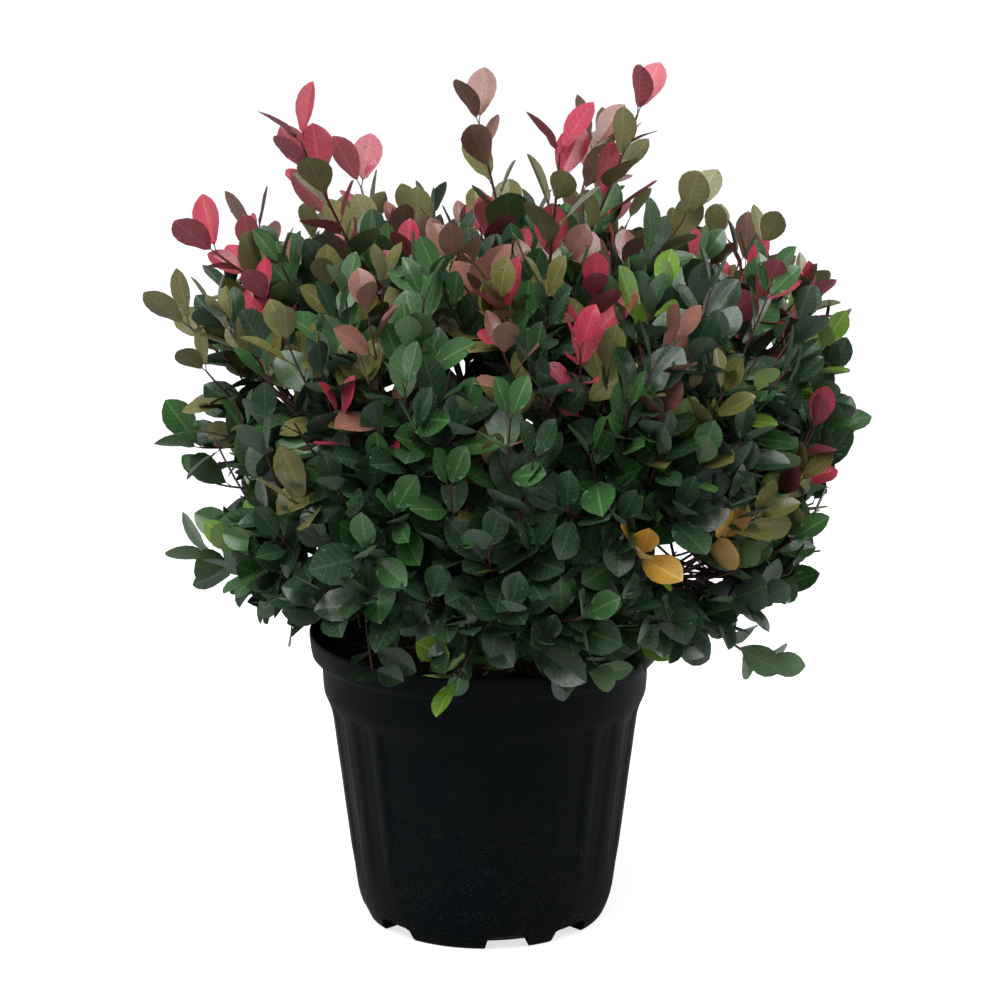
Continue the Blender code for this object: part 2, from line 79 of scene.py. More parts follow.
camera_data = bpy.data.cameras.new("view")
camera_data.sensor_width = 36.0
camera_data.lens = CAMERA_LENS
camera = bpy.data.objects.new("view", camera_data)
camera.location = CAMERA_PLACE
camera.rotation_euler = (math.radians(90.0 - CAMERA_PITCH), 0.0, math.radians(-CAMERA_PAN))
scene.collection.objects.link(camera)
scene.camera = camera
bpy.context.view_layer.update()
print("camera:", CAMERA_PLACE, "lens", CAMERA_LENS)

# %% Light
SKY_COLOUR = (0.93, 0.96, 1.0)
SKY_STRENGTH = 0.62
LAMPS = (
    ("sky_panel", (-0.5, -0.9, 2.4), (0.0, 0.0, 0.35), 2.2, 98.0, (0.98, 0.99, 1.0)),
    ("left_panel", (-2.4, -0.8, 1.1), (0.0, 0.0, 0.30), 1.4, 12.0, (1.0, 0.98, 0.95)),
    ("right_panel", (2.2, 0.2, 1.2), (0.0, 0.0, 0.30), 1.2, 34.0, (1.0, 0.97, 0.94)),
)


def lamp(name, place, target, side, power, colour):
    data = bpy.data.lights.new(name, "AREA")
    data.shape = "SQUARE"
    data.size = side
    data.energy = power
    data.color = colour
    made = bpy.data.objects.new(name, data)
    made.location = place
    aim = Vector(target) - Vector(place)
    made.rotation_euler = aim.to_track_quat("-Z", "Y").to_euler()
    scene.collection.objects.link(made)
    return made


for settings in LAMPS:
    lamp(*settings)
world = bpy.data.worlds.new("pale_sky")
world.use_nodes = True
world.node_tree.nodes["Background"].inputs["Color"].default_value = (*SKY_COLOUR, 1.0)
world.node_tree.nodes["Background"].inputs["Strength"].default_value = SKY_STRENGTH
scene.world = world
scene.view_settings.view_transform = "Standard"
print("lamps:", len(LAMPS))

# %% [markdown]
# ## Small helpers for objects, materials and node trees
# Each finished piece sits at the origin with its place in its mesh, rides on the plant's one body, and hides
# the solids it stands for. The helpers keep those steps in one place.


# %% Object helpers
def object_from(name, data):
    made = bpy.data.objects.new(name, data)
    scene.collection.objects.link(made)
    return made


def mesh_from(bm, name):
    mesh = bpy.data.meshes.new(name)
    bm.to_mesh(mesh)
    bm.free()
    return mesh


def plain_mesh(obj, name):
    """The evaluated object as a plain mesh under its final name, with the modifiers gone."""
    bpy.context.view_layer.update()
    graph = bpy.context.evaluated_depsgraph_get()
    mesh = bpy.data.meshes.new_from_object(obj.evaluated_get(graph))
    bpy.data.objects.remove(obj)
    mesh.name = name
    return object_from(name, mesh)


def finish_piece(obj, slot, *nodes):
    """Rides the piece on the plant's body and hides the solids it stands for; the slot is not used."""
    if nodes:
        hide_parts(*nodes)
    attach(obj, "root")
    obj.data.calc_loop_triangles()
    print(f"{obj.name}: {len(obj.data.loop_triangles)} triangles")
    return obj


# %% Node helpers
def linked(tree, source, output, target, entry):
    tree.links.new(source.outputs[output], target.inputs[entry])


def feed(tree, entry, value):
    """Links a socket to an input, or gives the input a plain number or colour."""
    if isinstance(value, bpy.types.NodeSocket):
        tree.links.new(value, entry)
    else:
        entry.default_value = (*value, 1.0) if isinstance(value, tuple) else value


def group_nodes(tree, *kinds):
    return [tree.nodes.new(kind) for kind in kinds]


def new_material(name):
    made = bpy.data.materials.new(name)
    made.use_nodes = True
    return made, made.node_tree, made.node_tree.nodes["Principled BSDF"]


def value_ramp(tree, value, low, high, first, last):
    """Maps the range low to high of a value onto first to last, and holds at both ends."""
    node = tree.nodes.new("ShaderNodeMapRange")
    node.clamp = True
    names = ("Value", "From Min", "From Max", "To Min", "To Max")
    for name, given in zip(names, (value, low, high, first, last)):
        feed(tree, node.inputs[name], given)
    return node.outputs["Result"]


def colour_mix(tree, share, first, second, blend="MIX"):
    node = tree.nodes.new("ShaderNodeMix")
    node.data_type = "RGBA"
    node.blend_type = blend
    for index, given in ((0, share), (6, first), (7, second)):
        feed(tree, node.inputs[index], given)
    return node.outputs[2]


def math_node(tree, operation, first, second=0.0):
    node = tree.nodes.new("ShaderNodeMath")
    node.operation = operation
    for entry, given in zip(node.inputs, (first, second)):
        feed(tree, entry, given)
    return node.outputs[0]


def noise_texture(tree, scale, detail=4.0, roughness=0.55):
    node, place = group_nodes(tree, "ShaderNodeTexNoise", "ShaderNodeTexCoord")
    for name, given in (("Scale", scale), ("Detail", detail), ("Roughness", roughness)):
        node.inputs[name].default_value = given
    linked(tree, place, "Object", node, "Vector")
    return node.outputs["Fac"]


def relief(tree, shader, height, strength, distance):
    """Bump from a height, on its way into a shader."""
    node = tree.nodes.new("ShaderNodeBump")
    for name, given in (("Strength", strength), ("Distance", distance), ("Height", height)):
        feed(tree, node.inputs[name], given)
    linked(tree, node, "Normal", shader, "Normal")


# %% [markdown]
# ## The floor
# A plain pale sheet large enough to run out of the picture. It isn't part of the object. A glow that only the
# camera sees turns it close to white, as behind the plant in the photograph, while the light that it throws up
# under the leaves stays low.

# %% Floor
FLOOR_HALF = 30.0
FLOOR_COLOUR = (0.46, 0.46, 0.46)
FLOOR_GLOW = 0.70
floor_grid = bmesh.new()
bmesh.ops.create_grid(floor_grid, x_segments=1, y_segments=1, size=FLOOR_HALF)
floor = object_from("floor", mesh_from(floor_grid, "floor"))
floor_finish, floor_tree, floor_shader = new_material("pale_floor")
rays = floor_tree.nodes.new("ShaderNodeLightPath")
glow = value_ramp(floor_tree, rays.outputs["Is Camera Ray"], 0.0, 1.0, 0.0, FLOOR_GLOW)
for name, given in (
    ("Base Color", FLOOR_COLOUR),
    ("Roughness", 0.9),
    ("Emission Color", (1.0, 1.0, 1.0)),
    ("Emission Strength", glow),
):
    feed(floor_tree, floor_shader.inputs[name], given)
floor.data.materials.append(floor_finish)
print("floor:", 2 * FLOOR_HALF, "m across")

# %% [markdown]
# ## The growth rule
# The crown spreads from a heart above the fork of the trunk. Its outline is a rounded box: a power curve that
# is steep at the shoulders and softer below. Fifteen masses share the crown in three tiers, each with its own
# axis, and the long shoots that stand out of the crown have their tips named here. These are the values that
# shaped the solids, so everything that grows from them stays within the same reach.

# %% Crown sizes
POT_HEIGHT = 0.238
RIM_RADIUS = 0.140
FORK = Vector((0.0, 0.0, 0.262))
FORK_RADIUS = 0.0125
HEART = Vector((0.010, 0.0, 0.325))
BARE_RADIUS = 0.086
REACH_LEFT = 0.248
REACH_RIGHT = 0.282
REACH_DEEP = 0.250
REACH_UP = 0.240
REACH_DOWN = 0.130
BOXINESS_UP = 6.0
BOXINESS_DOWN = 1.7
TIERS = (
    ("low", 7, -9.0, 4.0, -90.0),
    ("middle", 5, 27.0, 37.0, -54.0),
    ("top", 3, 66.0, 68.0, -60.0),
)
STEM_SHARE = 0.66
TWIGS = 7
TWIG_SPREAD = 31.0
LEAF_ROOM = 0.036
GOLDEN_ANGLE = math.radians(137.508)
SEED = 7

# name: highest leaf tip, colour of its youngest leaves
LEADERS = {
    "red_left": ((-0.147, -0.085, 0.679), "red"),
    "fork_left": ((-0.106, 0.090, 0.621), "red"),
    "tall_middle": ((-0.010, 0.055, 0.677), "copper"),
    "fork_right": ((0.058, -0.105, 0.674), "red"),
    "red_right": ((0.094, 0.120, 0.647), "copper"),
    "tall_right": ((0.128, 0.010, 0.689), "red"),
    "spoon_right": ((0.164, -0.120, 0.625), "olive"),
    "shoulder_right": ((0.221, 0.105, 0.553), "copper"),
    "fork_far_right": ((0.233, -0.075, 0.546), "red"),
    "far_right_high": ((0.275, 0.030, 0.482), "red"),
    "far_right": ((0.294, 0.000, 0.423), "green"),
    "far_right_low": ((0.255, -0.020, 0.290), "green"),
    "low_right": ((0.213, -0.070, 0.206), "green"),
    "shoulder_left": ((-0.227, -0.060, 0.586), "red"),
    "high_left": ((-0.195, 0.120, 0.573), "copper"),
    "far_left_high": ((-0.256, 0.040, 0.513), "olive"),
    "far_left": ((-0.255, -0.010, 0.412), "green"),
    "low_left": ((-0.248, 0.000, 0.318), "green"),
    "back_left": ((-0.154, 0.165, 0.617), "red"),
    "back_right": ((0.112, 0.160, 0.629), "copper"),
    "back": ((0.010, 0.250, 0.480), "olive"),
    "front": ((0.010, -0.190, 0.560), "red"),
    "front_right": ((0.130, -0.200, 0.480), "copper"),
    "over_rim_left": ((-0.085, -0.155, 0.226), "deep"),
    "over_rim_middle": ((-0.020, -0.172, 0.226), "fresh"),
    "over_rim_right": ((0.075, -0.160, 0.226), "green"),
    "over_rim_back": ((0.040, 0.170, 0.226), "green"),
}


# %% The crown's outline
def direction(azimuth, elevation):
    a, e = math.radians(azimuth), math.radians(elevation)
    return Vector((math.cos(a) * math.cos(e), math.sin(a) * math.cos(e), math.sin(e)))


def reach(way):
    """How far the crown spreads from its heart along a direction."""
    sideways = REACH_RIGHT if way.x > 0 else REACH_LEFT
    upwards = REACH_UP if way.z > 0 else REACH_DOWN
    boxiness = BOXINESS_UP if way.z > 0 else BOXINESS_DOWN
    level = math.hypot(way.x / sideways, way.y / REACH_DEEP)
    return (level**boxiness + abs(way.z / upwards) ** boxiness) ** (-1.0 / boxiness)


def depth_share(place):
    """0 at the heart of the crown and 1 on its outline."""
    away = place - HEART
    return away.length / reach(away.normalized())


def clear_of_pot(place):
    return place.z > POT_HEIGHT + 0.004 or math.hypot(place.x, place.y) > RIM_RADIUS + 0.004


masses = []
for tier, count, elevation, fork_elevation, first in TIERS:
    for i in range(count):
        azimuth = first + 360.0 / count * i
        label = f"{tier}_{i + 1}"
        masses.append((label, direction(azimuth, elevation), direction(azimuth, fork_elevation)))
print("masses:", ", ".join(label for label, _, _ in masses))


# %% [markdown]
# ## Boughs, stems, twigs and shoots
# A bough runs from the fork to its mass. There it becomes the mass's stem, the stem carries twigs, and the
# twigs carry fine shoots whose tips are spread evenly over the crown: candidate tips are thrown at the outline,
# and each is kept only where it has room, which is how crowded shoots sort themselves out. Every line is a
# Bezier curve that leaves its parent outwards and then turns up to the light.


# %% Lines through the crown
def across(axis):
    """Two directions square to an axis and to each other."""
    first = axis.cross(Vector((0.0, 0.0, 1.0)))
    if first.length < 0.1:
        first = axis.cross(Vector((1.0, 0.0, 0.0)))
    first.normalize()
    return first, axis.cross(first)


def bezier(controls, count):
    made = []
    for i in range(count + 1):
        places = list(controls)
        while len(places) > 1:
            places = [a.lerp(b, i / count) for a, b in zip(places, places[1:])]
        made.append(places[0])
    return made


def along(places, share):
    """The place and the tangent at a share of a line's points."""
    at = min(max(share, 0.0) * (len(places) - 1), len(places) - 1.001)
    i = int(at)
    return places[i].lerp(places[i + 1], at - i), (places[i + 1] - places[i]).normalized()


def tapering(first, last, count):
    return [first + (last - first) * i / count for i in range(count + 1)]


def rising_line(start, tip, sag, count):
    """A line that leaves its start outwards and turns up towards its tip."""
    middle = start.lerp(tip, 0.5) - Vector((0.0, 0.0, sag * (tip - start).length))
    if not clear_of_pot(middle):
        middle = start.lerp(tip, 0.5)
    return bezier([start, middle, tip], count)


# %% Boughs, stems and twigs
BOUGH_BEND = 0.034
boughs, stems, twigs, leaders = [], {}, {}, []
for label, axis, fork_way in masses:
    rng = random.Random(f"{SEED} {label}")
    start = FORK + fork_way * (FORK_RADIUS * 0.6)
    foot = HEART + axis * BARE_RADIUS
    controls = [start, start + fork_way * BOUGH_BEND, foot - axis * BOUGH_BEND, foot]
    boughs.append(bezier(controls, 16))
    stems[label] = bezier([foot, HEART + axis * (reach(axis) * STEM_SHARE)], 6)
    twigs[label] = []
    first, second = across(axis)
    for k in range(TWIGS):
        spread = math.tan(math.radians(TWIG_SPREAD) * math.sqrt((k + 0.3) / TWIGS))
        turn = k * GOLDEN_ANGLE
        way = axis + (first * math.cos(turn) + second * math.sin(turn)) * spread
        way.normalize()
        tip = HEART + way * (reach(way) - LEAF_ROOM * rng.uniform(0.8, 1.2))
        if clear_of_pot(tip):
            start, _ = along(stems[label], 0.90 - 0.50 * k / TWIGS)
            twigs[label].append(rising_line(start, tip, 0.08, 9))
print("boughs:", len(boughs), "twigs:", sum(len(lines) for lines in twigs.values()))

# %% Long shoots
LEADER_LEAF = 0.043
LEADER_RISE = 0.7
LEADER_SAG = 0.12
HANG_LIFT = 0.024
for name, (place, colour) in LEADERS.items():
    tip = Vector(place)
    way = (tip - HEART).normalized()
    label, _, _ = max(masses, key=lambda mass: mass[1].dot(way))
    start, _ = along(stems[label], 0.75)
    last = ((tip - start).normalized() + Vector((0.0, 0.0, LEADER_RISE))).normalized()
    hanging = tip.z < POT_HEIGHT
    end = tip + Vector((0.0, 0.0, HANG_LIFT)) if hanging else tip - last * LEADER_LEAF
    line = rising_line(start, end, 0.0 if hanging else LEADER_SAG, 14)
    leaders.append((line, colour))
print("long shoots:", len(leaders))

# %% [markdown]
# ### Room for shoots and leaves
# The photograph shows a bare stretch of rim with the compost behind it, sides that draw in towards the pot, and
# small openings where the background shows through the crown. Fine shoots keep off the bare stretch, and a leaf
# that would cover any of these is left out. The long shoots are exempt, because they were placed one by one.

# %% Room for a leaf
BARE_LEFT = -0.145
BARE_RIGHT = -0.052
BARE_TOP = 0.280
RIM_LINE = 0.233
NEAR_RIM = 0.185
# height, then how far the leaves spread to the left and to the right of the trunk
SIDE_EDGES = (
    (0.250, 0.180, 0.200),
    (0.285, 0.205, 0.240),
    (0.327, 0.236, 0.252),
    (0.383, 0.252, 0.272),
    (0.424, 0.256, 0.296),
)
# across, down and radius, all in shares of the picture
OPENINGS = (
    (0.223, 0.277, 0.020), (0.284, 0.314, 0.018), (0.218, 0.368, 0.014), (0.222, 0.418, 0.019),
    (0.215, 0.495, 0.018), (0.243, 0.484, 0.014), (0.318, 0.598, 0.018), (0.680, 0.602, 0.023),
    (0.664, 0.570, 0.016), (0.704, 0.642, 0.019), (0.317, 0.378, 0.012), (0.457, 0.265, 0.012),
    (0.388, 0.300, 0.011), (0.760, 0.232, 0.014),
)


def within_edges(place):
    heights, left, right = zip(*SIDE_EDGES)
    return -np.interp(place.z, heights, left) < place.x < np.interp(place.z, heights, right)


def has_room(place):
    """Off the pot, not below its rim close beside it, and clear of the bare stretch at the front left."""
    if place.y < -0.02 and BARE_LEFT < place.x < BARE_RIGHT and place.z < BARE_TOP:
        return False
    if math.hypot(place.x, place.y) < NEAR_RIM and place.z < RIM_LINE:
        return False
    return clear_of_pot(place)


def picture_place(place):
    seen = world_to_camera_view(scene, camera, place)
    return Vector((seen.x, 1.0 - seen.y))


def in_opening(root, tip):
    """Whether a leaf would cover a spot where the photograph shows the background through the crown."""
    a, b = picture_place(root), picture_place(tip)
    for across_share, down_share, radius in OPENINGS:
        centre = Vector((across_share, down_share))
        share = min(1.0, max(0.0, (centre - a).dot(b - a) / max((b - a).length_squared, 1e-9)))
        if (centre - a.lerp(b, share)).length < radius:
            return True
    return False


# %% Fine shoots
SHOOT_GAP = 0.0315
SHOOT_TRIES = 9000
SHOOT_MOST = 430
UPRIGHT_FROM = 0.40
OPEN_FROM = 0.50
OPEN_GAP = 0.0370
LOWEST_TIP = 0.225
SHORTEST = 0.025
UPRIGHT_SAG = 0.28
SIDE_SAG = 0.18
rng = random.Random(SEED)
starts = []
for label, _, _ in masses:
    for line in twigs[label]:
        starts += [along(line, share)[0] for share in (0.25, 0.40, 0.55, 0.70, 0.85)]
starts += [along(line, share)[0] for line, _ in leaders for share in (0.3, 0.45, 0.6)]
start_table = np.array(starts)
tips = np.zeros((0, 3))
shoots = []
for _ in range(SHOOT_TRIES):
    if len(shoots) == SHOOT_MOST:
        break
    way = Vector((rng.gauss(0, 1), rng.gauss(0, 1), rng.gauss(0, 1))).normalized()
    deep = rng.uniform(0.80, 1.0) ** 0.6
    tip = HEART + way * (reach(way) * deep - 0.020)
    if tip.z < LOWEST_TIP or not has_room(tip):
        continue
    gap = OPEN_GAP if tip.z > OPEN_FROM else SHOOT_GAP
    if len(tips) and np.min(np.linalg.norm(tips - tip, axis=1)) < gap:
        continue
    inwards = HEART + (tip - HEART) * 0.62
    if tip.z > UPRIGHT_FROM:
        inwards -= Vector((0.0, 0.0, 0.03))
    start = Vector(start_table[np.argmin(np.linalg.norm(start_table - inwards, axis=1))])
    if (tip - start).length < SHORTEST:
        continue
    shoots.append(rising_line(start, tip, UPRIGHT_SAG if tip.z > UPRIGHT_FROM else SIDE_SAG, 8))
    tips = np.vstack([tips, tip])
print("fine shoots:", len(shoots))

# %% [markdown]
# ## Where the leaves go
# A leaf's upper side looks up its own shoot and towards the light, and the leaves turn round the shoot by the
# golden angle, so no leaf shades the next. The youngest leaves stand in an upright pair at the tip. Colour is
# dealt out by spray: old leaves are deep green, new ones are lime, olive, copper or red, and the red ones
# gather at the tips of the upper shoots.

# %% Colour of each spray
# upper edge of each band of height, then the weights of the colours in it
BANDS = (
    (0.30, {"deep": 66, "green": 22, "fresh": 7, "olive": 3, "gold": 2}),
    (0.44, {"deep": 48, "green": 30, "fresh": 9, "olive": 8, "gold": 3, "red": 1}),
    (0.50, {"deep": 30, "green": 26, "fresh": 7, "olive": 24, "copper": 6, "red": 7}),
    (9.00, {"deep": 12, "green": 17, "fresh": 4, "olive": 36, "copper": 18, "red": 13}),
)
OLDER = {
    "red": "olive", "copper": "olive", "olive": "green", "fresh": "green", "green": "deep", "gold": "green",
}


def spray_colour(height, rng):
    weights = next(weights for top, weights in BANDS if height < top)
    return rng.choices(list(weights), list(weights.values()))[0]


def leaf_colour(young, share, rng):
    """A shoot's leaves grow older and greener from its tip down."""
    if share < 0.42 and rng.random() < 0.75:
        return OLDER.get(OLDER.get(young, young), "deep")
    if share < 0.72 and rng.random() < 0.6:
        return OLDER.get(young, young)
    return young


# %% Leaves along a shoot
LEAF_FORMS = 4
LEAF_LENGTH = 0.0385
LEAF_GAP = 0.0096
LEADER_GAP = 0.0125
LEADER_AGE = 0.12
STALK_SHARE = 0.16
FURTHEST = 1.06
CLOSING_FROM = 0.42
CLOSING_RISE = 0.12
PAIR_TURN = (math.radians(25.0), math.radians(70.0))
PAIR_WIDE = (22.0, 32.0)
PAIR_NARROW = (14.0, 28.0)
leaves = {colour: [] for colour in ("deep", "green", "fresh", "olive", "copper", "red", "gold")}
petioles = []


def leaf_turn(axis, face):
    """The turn that lays a leaf's length along axis and its upper side towards face."""
    side = face.cross(axis).normalized()
    up = axis.cross(side).normalized()
    return Matrix((axis, side, up)).transposed().to_euler()


def round_shoot(tangent, turn):
    """The direction square to the shoot at a turn round it."""
    first, second = across(tangent)
    return first * math.cos(turn) + second * math.sin(turn)


def place_leaf(place, tangent, sideways, opening, length, colour, leading, rng):
    axis = (tangent * math.cos(opening) + sideways * math.sin(opening)).normalized()
    root = place + axis * (length * STALK_SHARE)
    tip = root + axis * length
    if leading:
        if not (clear_of_pot(tip) and clear_of_pot(root)):
            return
    elif depth_share(tip) > FURTHEST or not (has_room(tip) and has_room(root) and within_edges(tip)):
        return
    elif in_opening(root, tip):
        return
    inner = tangent * math.sin(opening) - sideways * math.cos(opening)
    stray = Vector((rng.gauss(0, 1), rng.gauss(0, 1), rng.gauss(0, 1)))
    out = (place - HEART).normalized()
    face = inner * 0.45 + Vector((0.0, 0.0, 0.40)) + out * 0.50 + stray * 0.25
    face -= axis * face.dot(axis)
    form = rng.randrange(LEAF_FORMS)
    leaves[colour].append((root, leaf_turn(axis, face.normalized()), length, form))
    petioles.append((place, root + axis * (length * 0.06)))


def dress(line, young, first_share, gap, longest, leading, rng):
    """Leaves up a shoot, then the pair at its tip. Leaves of the upper shoots stand more upright."""
    length = sum((b - a).length for a, b in zip(line, line[1:]))
    count = max(2, round(length * (1.0 - first_share) / gap))
    turn = rng.uniform(0.0, 2.0 * math.pi)
    for i in range(count):
        share = first_share + (0.95 - first_share) * i / count
        place, tangent = along(line, share)
        size = longest * rng.uniform(0.72, 1.22) * (0.86 + 0.28 * math.sin(math.pi * min(share, 0.9)))
        closing = 20.0 * min(1.0, max(0.0, (place.z - CLOSING_FROM) / CLOSING_RISE))
        opening = math.radians(rng.uniform(46.0, 72.0) - 14.0 * share - closing)
        colour = leaf_colour(young, share - (LEADER_AGE if leading else 0.0), rng)
        place_leaf(place, tangent, round_shoot(tangent, turn), opening, size, colour, leading, rng)
        turn += GOLDEN_ANGLE
    place, tangent = line[-1], (line[-1] - line[-2]).normalized()
    lift = (tangent + Vector((0.0, 0.0, 0.6))).normalized()
    sideways = round_shoot(lift, turn)
    if leading:
        turn = rng.uniform(*PAIR_TURN)
        sideways = Vector((math.cos(turn), math.sin(turn), 0.0))
        sideways = (sideways - lift * sideways.dot(lift)).normalized()
    for way in (sideways, -sideways):
        opening = math.radians(rng.uniform(*(PAIR_WIDE if leading else PAIR_NARROW)))
        place_leaf(place, lift, way, opening, longest * (1.06 if leading else 0.82), young, leading, rng)


# %% Deal out the leaves
rng = random.Random(SEED + 1)
for line in shoots:
    dress(line, spray_colour(line[-1].z, rng), 0.24, LEAF_GAP, LEAF_LENGTH, False, rng)
for line, colour in leaders:
    hanging = line[-1].z < POT_HEIGHT + HANG_LIFT
    first_share, longest = (0.70, LEAF_LENGTH * 0.8) if hanging else (0.42, LEAF_LENGTH)
    dress(line, colour, first_share, LEADER_GAP, longest, True, rng)
for lines in twigs.values():
    for line in lines:
        dress(line, "deep", 0.35, 0.014, LEAF_LENGTH, False, rng)
print({colour: len(found) for colour, found in leaves.items()}, "leaves", len(petioles))

# %% [markdown]
# ## The leaf itself
# The leaf is an oval that is widest past its middle, folded a little along its midrib, with its tip curled
# down. It is a closed blade of a few dozen faces: the upper side has a narrow rib strip of its own, so the
# pale midrib is real geometry, and the underside is simpler. Four forms with different fold and curl are
# enough to stop the eye from seeing copies.

# %% Leaf forms
STATIONS = (0.0, 0.09, 0.22, 0.38, 0.55, 0.72, 0.86, 0.95, 1.0)
HALF_WIDTHS = (0.0, 0.080, 0.168, 0.240, 0.276, 0.256, 0.178, 0.080, 0.0)
RIB_SHARE = 0.075
COLUMNS = (-1.0, -0.52, -RIB_SHARE, RIB_SHARE, 0.52, 1.0)
BLADE_THICKNESS = 0.016
# fold along the midrib, curl of the tip, width and wave of the edge
FORMS = (
    (0.16, 0.06, 1.10, 0.010),
    (0.08, 0.14, 1.22, 0.016),
    (0.30, 0.03, 1.02, 0.012),
    (0.12, -0.06, 1.15, 0.018),
)


def leaf_form(name, fold, curl, width, wave):
    bm = bmesh.new()
    side_mark = bm.faces.layers.int.new("side")
    blade_place = bm.verts.layers.float_vector.new("blade")

    def spot(station, column, drop):
        share, half = STATIONS[station], HALF_WIDTHS[station] * width
        rise = fold * abs(column) * half - curl * share * share
        rise += wave * math.sin(share * 17.0) * column * (1.0 - share) * 2.0
        groove = -0.006 if abs(column) <= RIB_SHARE else 0.0
        vert = bm.verts.new((share, column * half, rise + (groove if drop == 0.0 else 0.0) - drop))
        vert[blade_place] = (share, column * half, 0.0)
        return vert

    last = len(STATIONS) - 1
    root, tip = spot(0, 0.0, BLADE_THICKNESS / 2), spot(last, 0.0, BLADE_THICKNESS / 2)
    upper = [[spot(s, column, 0.0) for column in COLUMNS] for s in range(1, last)]
    under = [[row[0], spot(s + 1, 0.0, BLADE_THICKNESS), row[-1]] for s, row in enumerate(upper)]

    def strips(rows, marks, flip):
        whole = [[root] * len(rows[0]), *rows, [tip] * len(rows[0])]
        for lower, higher in zip(whole, whole[1:]):
            for c, mark in enumerate(marks):
                ring = []
                for vert in (lower[c], higher[c], higher[c + 1], lower[c + 1]):
                    if vert not in ring:
                        ring.append(vert)
                face = bm.faces.new(ring if flip else ring[::-1])
                face[side_mark] = mark
                face.smooth = True

    strips(upper, (0, 0, 1, 0, 0), False)
    strips(under, (2, 2), True)
    bmesh.ops.recalc_face_normals(bm, faces=bm.faces)
    mesh = mesh_from(bm, name)
    mesh.set_sharp_from_angle(angle=math.radians(70.0))
    return mesh


forms = bpy.data.collections.new("leaf_forms")
for i, shape in enumerate(FORMS):
    name = f"leaf_form_{i}"
    forms.objects.link(bpy.data.objects.new(name, leaf_form(name, *shape)))

# %% [markdown]
# ## Leaf materials
# A leaf of this shrub is leathery and glossy, with a thin wax coat. The upper side, the rib and the underside
# are three materials of one family: the underside is paler and duller. Colours are plain, because they are
# dealt out by spray, and only a soft mottle moves them a little.

# %% Mottle group
mottle = bpy.data.node_groups.new("leaf_mottle", "ShaderNodeTree")
for name, kind, value in (("Colour", "NodeSocketColor", (0.1, 0.2, 0.1, 1.0)), ("Amount", "NodeSocketFloat", 0.5)):
    mottle.interface.new_socket(name, in_out="INPUT", socket_type=kind).default_value = value
mottle.interface.new_socket("Colour", in_out="OUTPUT", socket_type="NodeSocketColor")
mottle.interface.new_socket("Roughness", in_out="OUTPUT", socket_type="NodeSocketFloat")
mottle.interface.new_socket("Height", in_out="OUTPUT", socket_type="NodeSocketFloat")
group_in = mottle.nodes.new("NodeGroupInput")
group_out = mottle.nodes.new("NodeGroupOutput")
fine = noise_texture(mottle, 420.0, 2.0)
tone = value_ramp(mottle, noise_texture(mottle, 34.0, 3.0), 0.30, 0.70, 0.62, 1.40)
toned = mottle.nodes.new("ShaderNodeVectorMath")
toned.operation = "SCALE"
linked(mottle, group_in, "Colour", toned, 0)
feed(mottle, toned.inputs["Scale"], tone)
plain, amount = group_in.outputs["Colour"], group_in.outputs["Amount"]
for name, given in (
    ("Colour", colour_mix(mottle, amount, plain, toned.outputs["Vector"])),
    ("Roughness", value_ramp(mottle, fine, 0.35, 0.75, 0.22, 0.46)),
    ("Height", fine),
):
    feed(mottle, group_out.inputs[name], given)
print("mottle group:", len(mottle.nodes), "nodes")

# %% Vein group
veins = bpy.data.node_groups.new("leaf_veins", "ShaderNodeTree")
for name, value in (("Count", 8.0), ("Slant", 0.65), ("Width", 0.13), ("Rib", 0.018)):
    veins.interface.new_socket(name, in_out="INPUT", socket_type="NodeSocketFloat").default_value = value
veins.interface.new_socket("Mask", in_out="OUTPUT", socket_type="NodeSocketFloat")
vein_in = veins.nodes.new("NodeGroupInput")
vein_out = veins.nodes.new("NodeGroupOutput")
blade = veins.nodes.new("ShaderNodeAttribute")
blade.attribute_name = "blade"
blade_split = veins.nodes.new("ShaderNodeSeparateXYZ")
linked(veins, blade, "Vector", blade_split, "Vector")
aside = math_node(veins, "ABSOLUTE", blade_split.outputs["Y"])
lag = math_node(veins, "MULTIPLY", aside, vein_in.outputs["Slant"])
slanted = math_node(veins, "SUBTRACT", blade_split.outputs["X"], lag)
phase = math_node(veins, "FRACT", math_node(veins, "MULTIPLY", slanted, vein_in.outputs["Count"]))
from_line = math_node(veins, "ABSOLUTE", math_node(veins, "SUBTRACT", phase, 0.5))
ridge = math_node(veins, "SUBTRACT", 1.0, math_node(veins, "DIVIDE", from_line, vein_in.outputs["Width"]))
midrib = math_node(veins, "SUBTRACT", 1.0, math_node(veins, "DIVIDE", aside, vein_in.outputs["Rib"]))
both = math_node(veins, "MAXIMUM", math_node(veins, "MULTIPLY", ridge, 0.6), midrib)
veins.links.new(math_node(veins, "MAXIMUM", both, 0.0), vein_out.inputs["Mask"])
print("vein group:", len(veins.nodes), "nodes")

# %% Leaf finishes
# upper side, rib, underside, in linear colour
LEAF_COLOURS = {
    "deep": ((0.014, 0.036, 0.015), (0.032, 0.066, 0.032), (0.036, 0.066, 0.040)),
    "green": ((0.024, 0.074, 0.020), (0.070, 0.130, 0.042), (0.075, 0.130, 0.056)),
    "fresh": ((0.100, 0.190, 0.018), (0.200, 0.290, 0.055), (0.150, 0.230, 0.065)),
    "olive": ((0.098, 0.094, 0.025), (0.150, 0.128, 0.046), (0.118, 0.110, 0.044)),
    "copper": ((0.160, 0.067, 0.050), (0.200, 0.085, 0.064), (0.150, 0.075, 0.058)),
    "red": ((0.280, 0.024, 0.046), (0.330, 0.050, 0.064), (0.220, 0.042, 0.058)),
    "gold": ((0.360, 0.190, 0.026), (0.430, 0.270, 0.070), (0.320, 0.200, 0.065)),
}
COAT_WEIGHTS = {"upper": 0.12, "rib": 0.10, "under": 0.0}
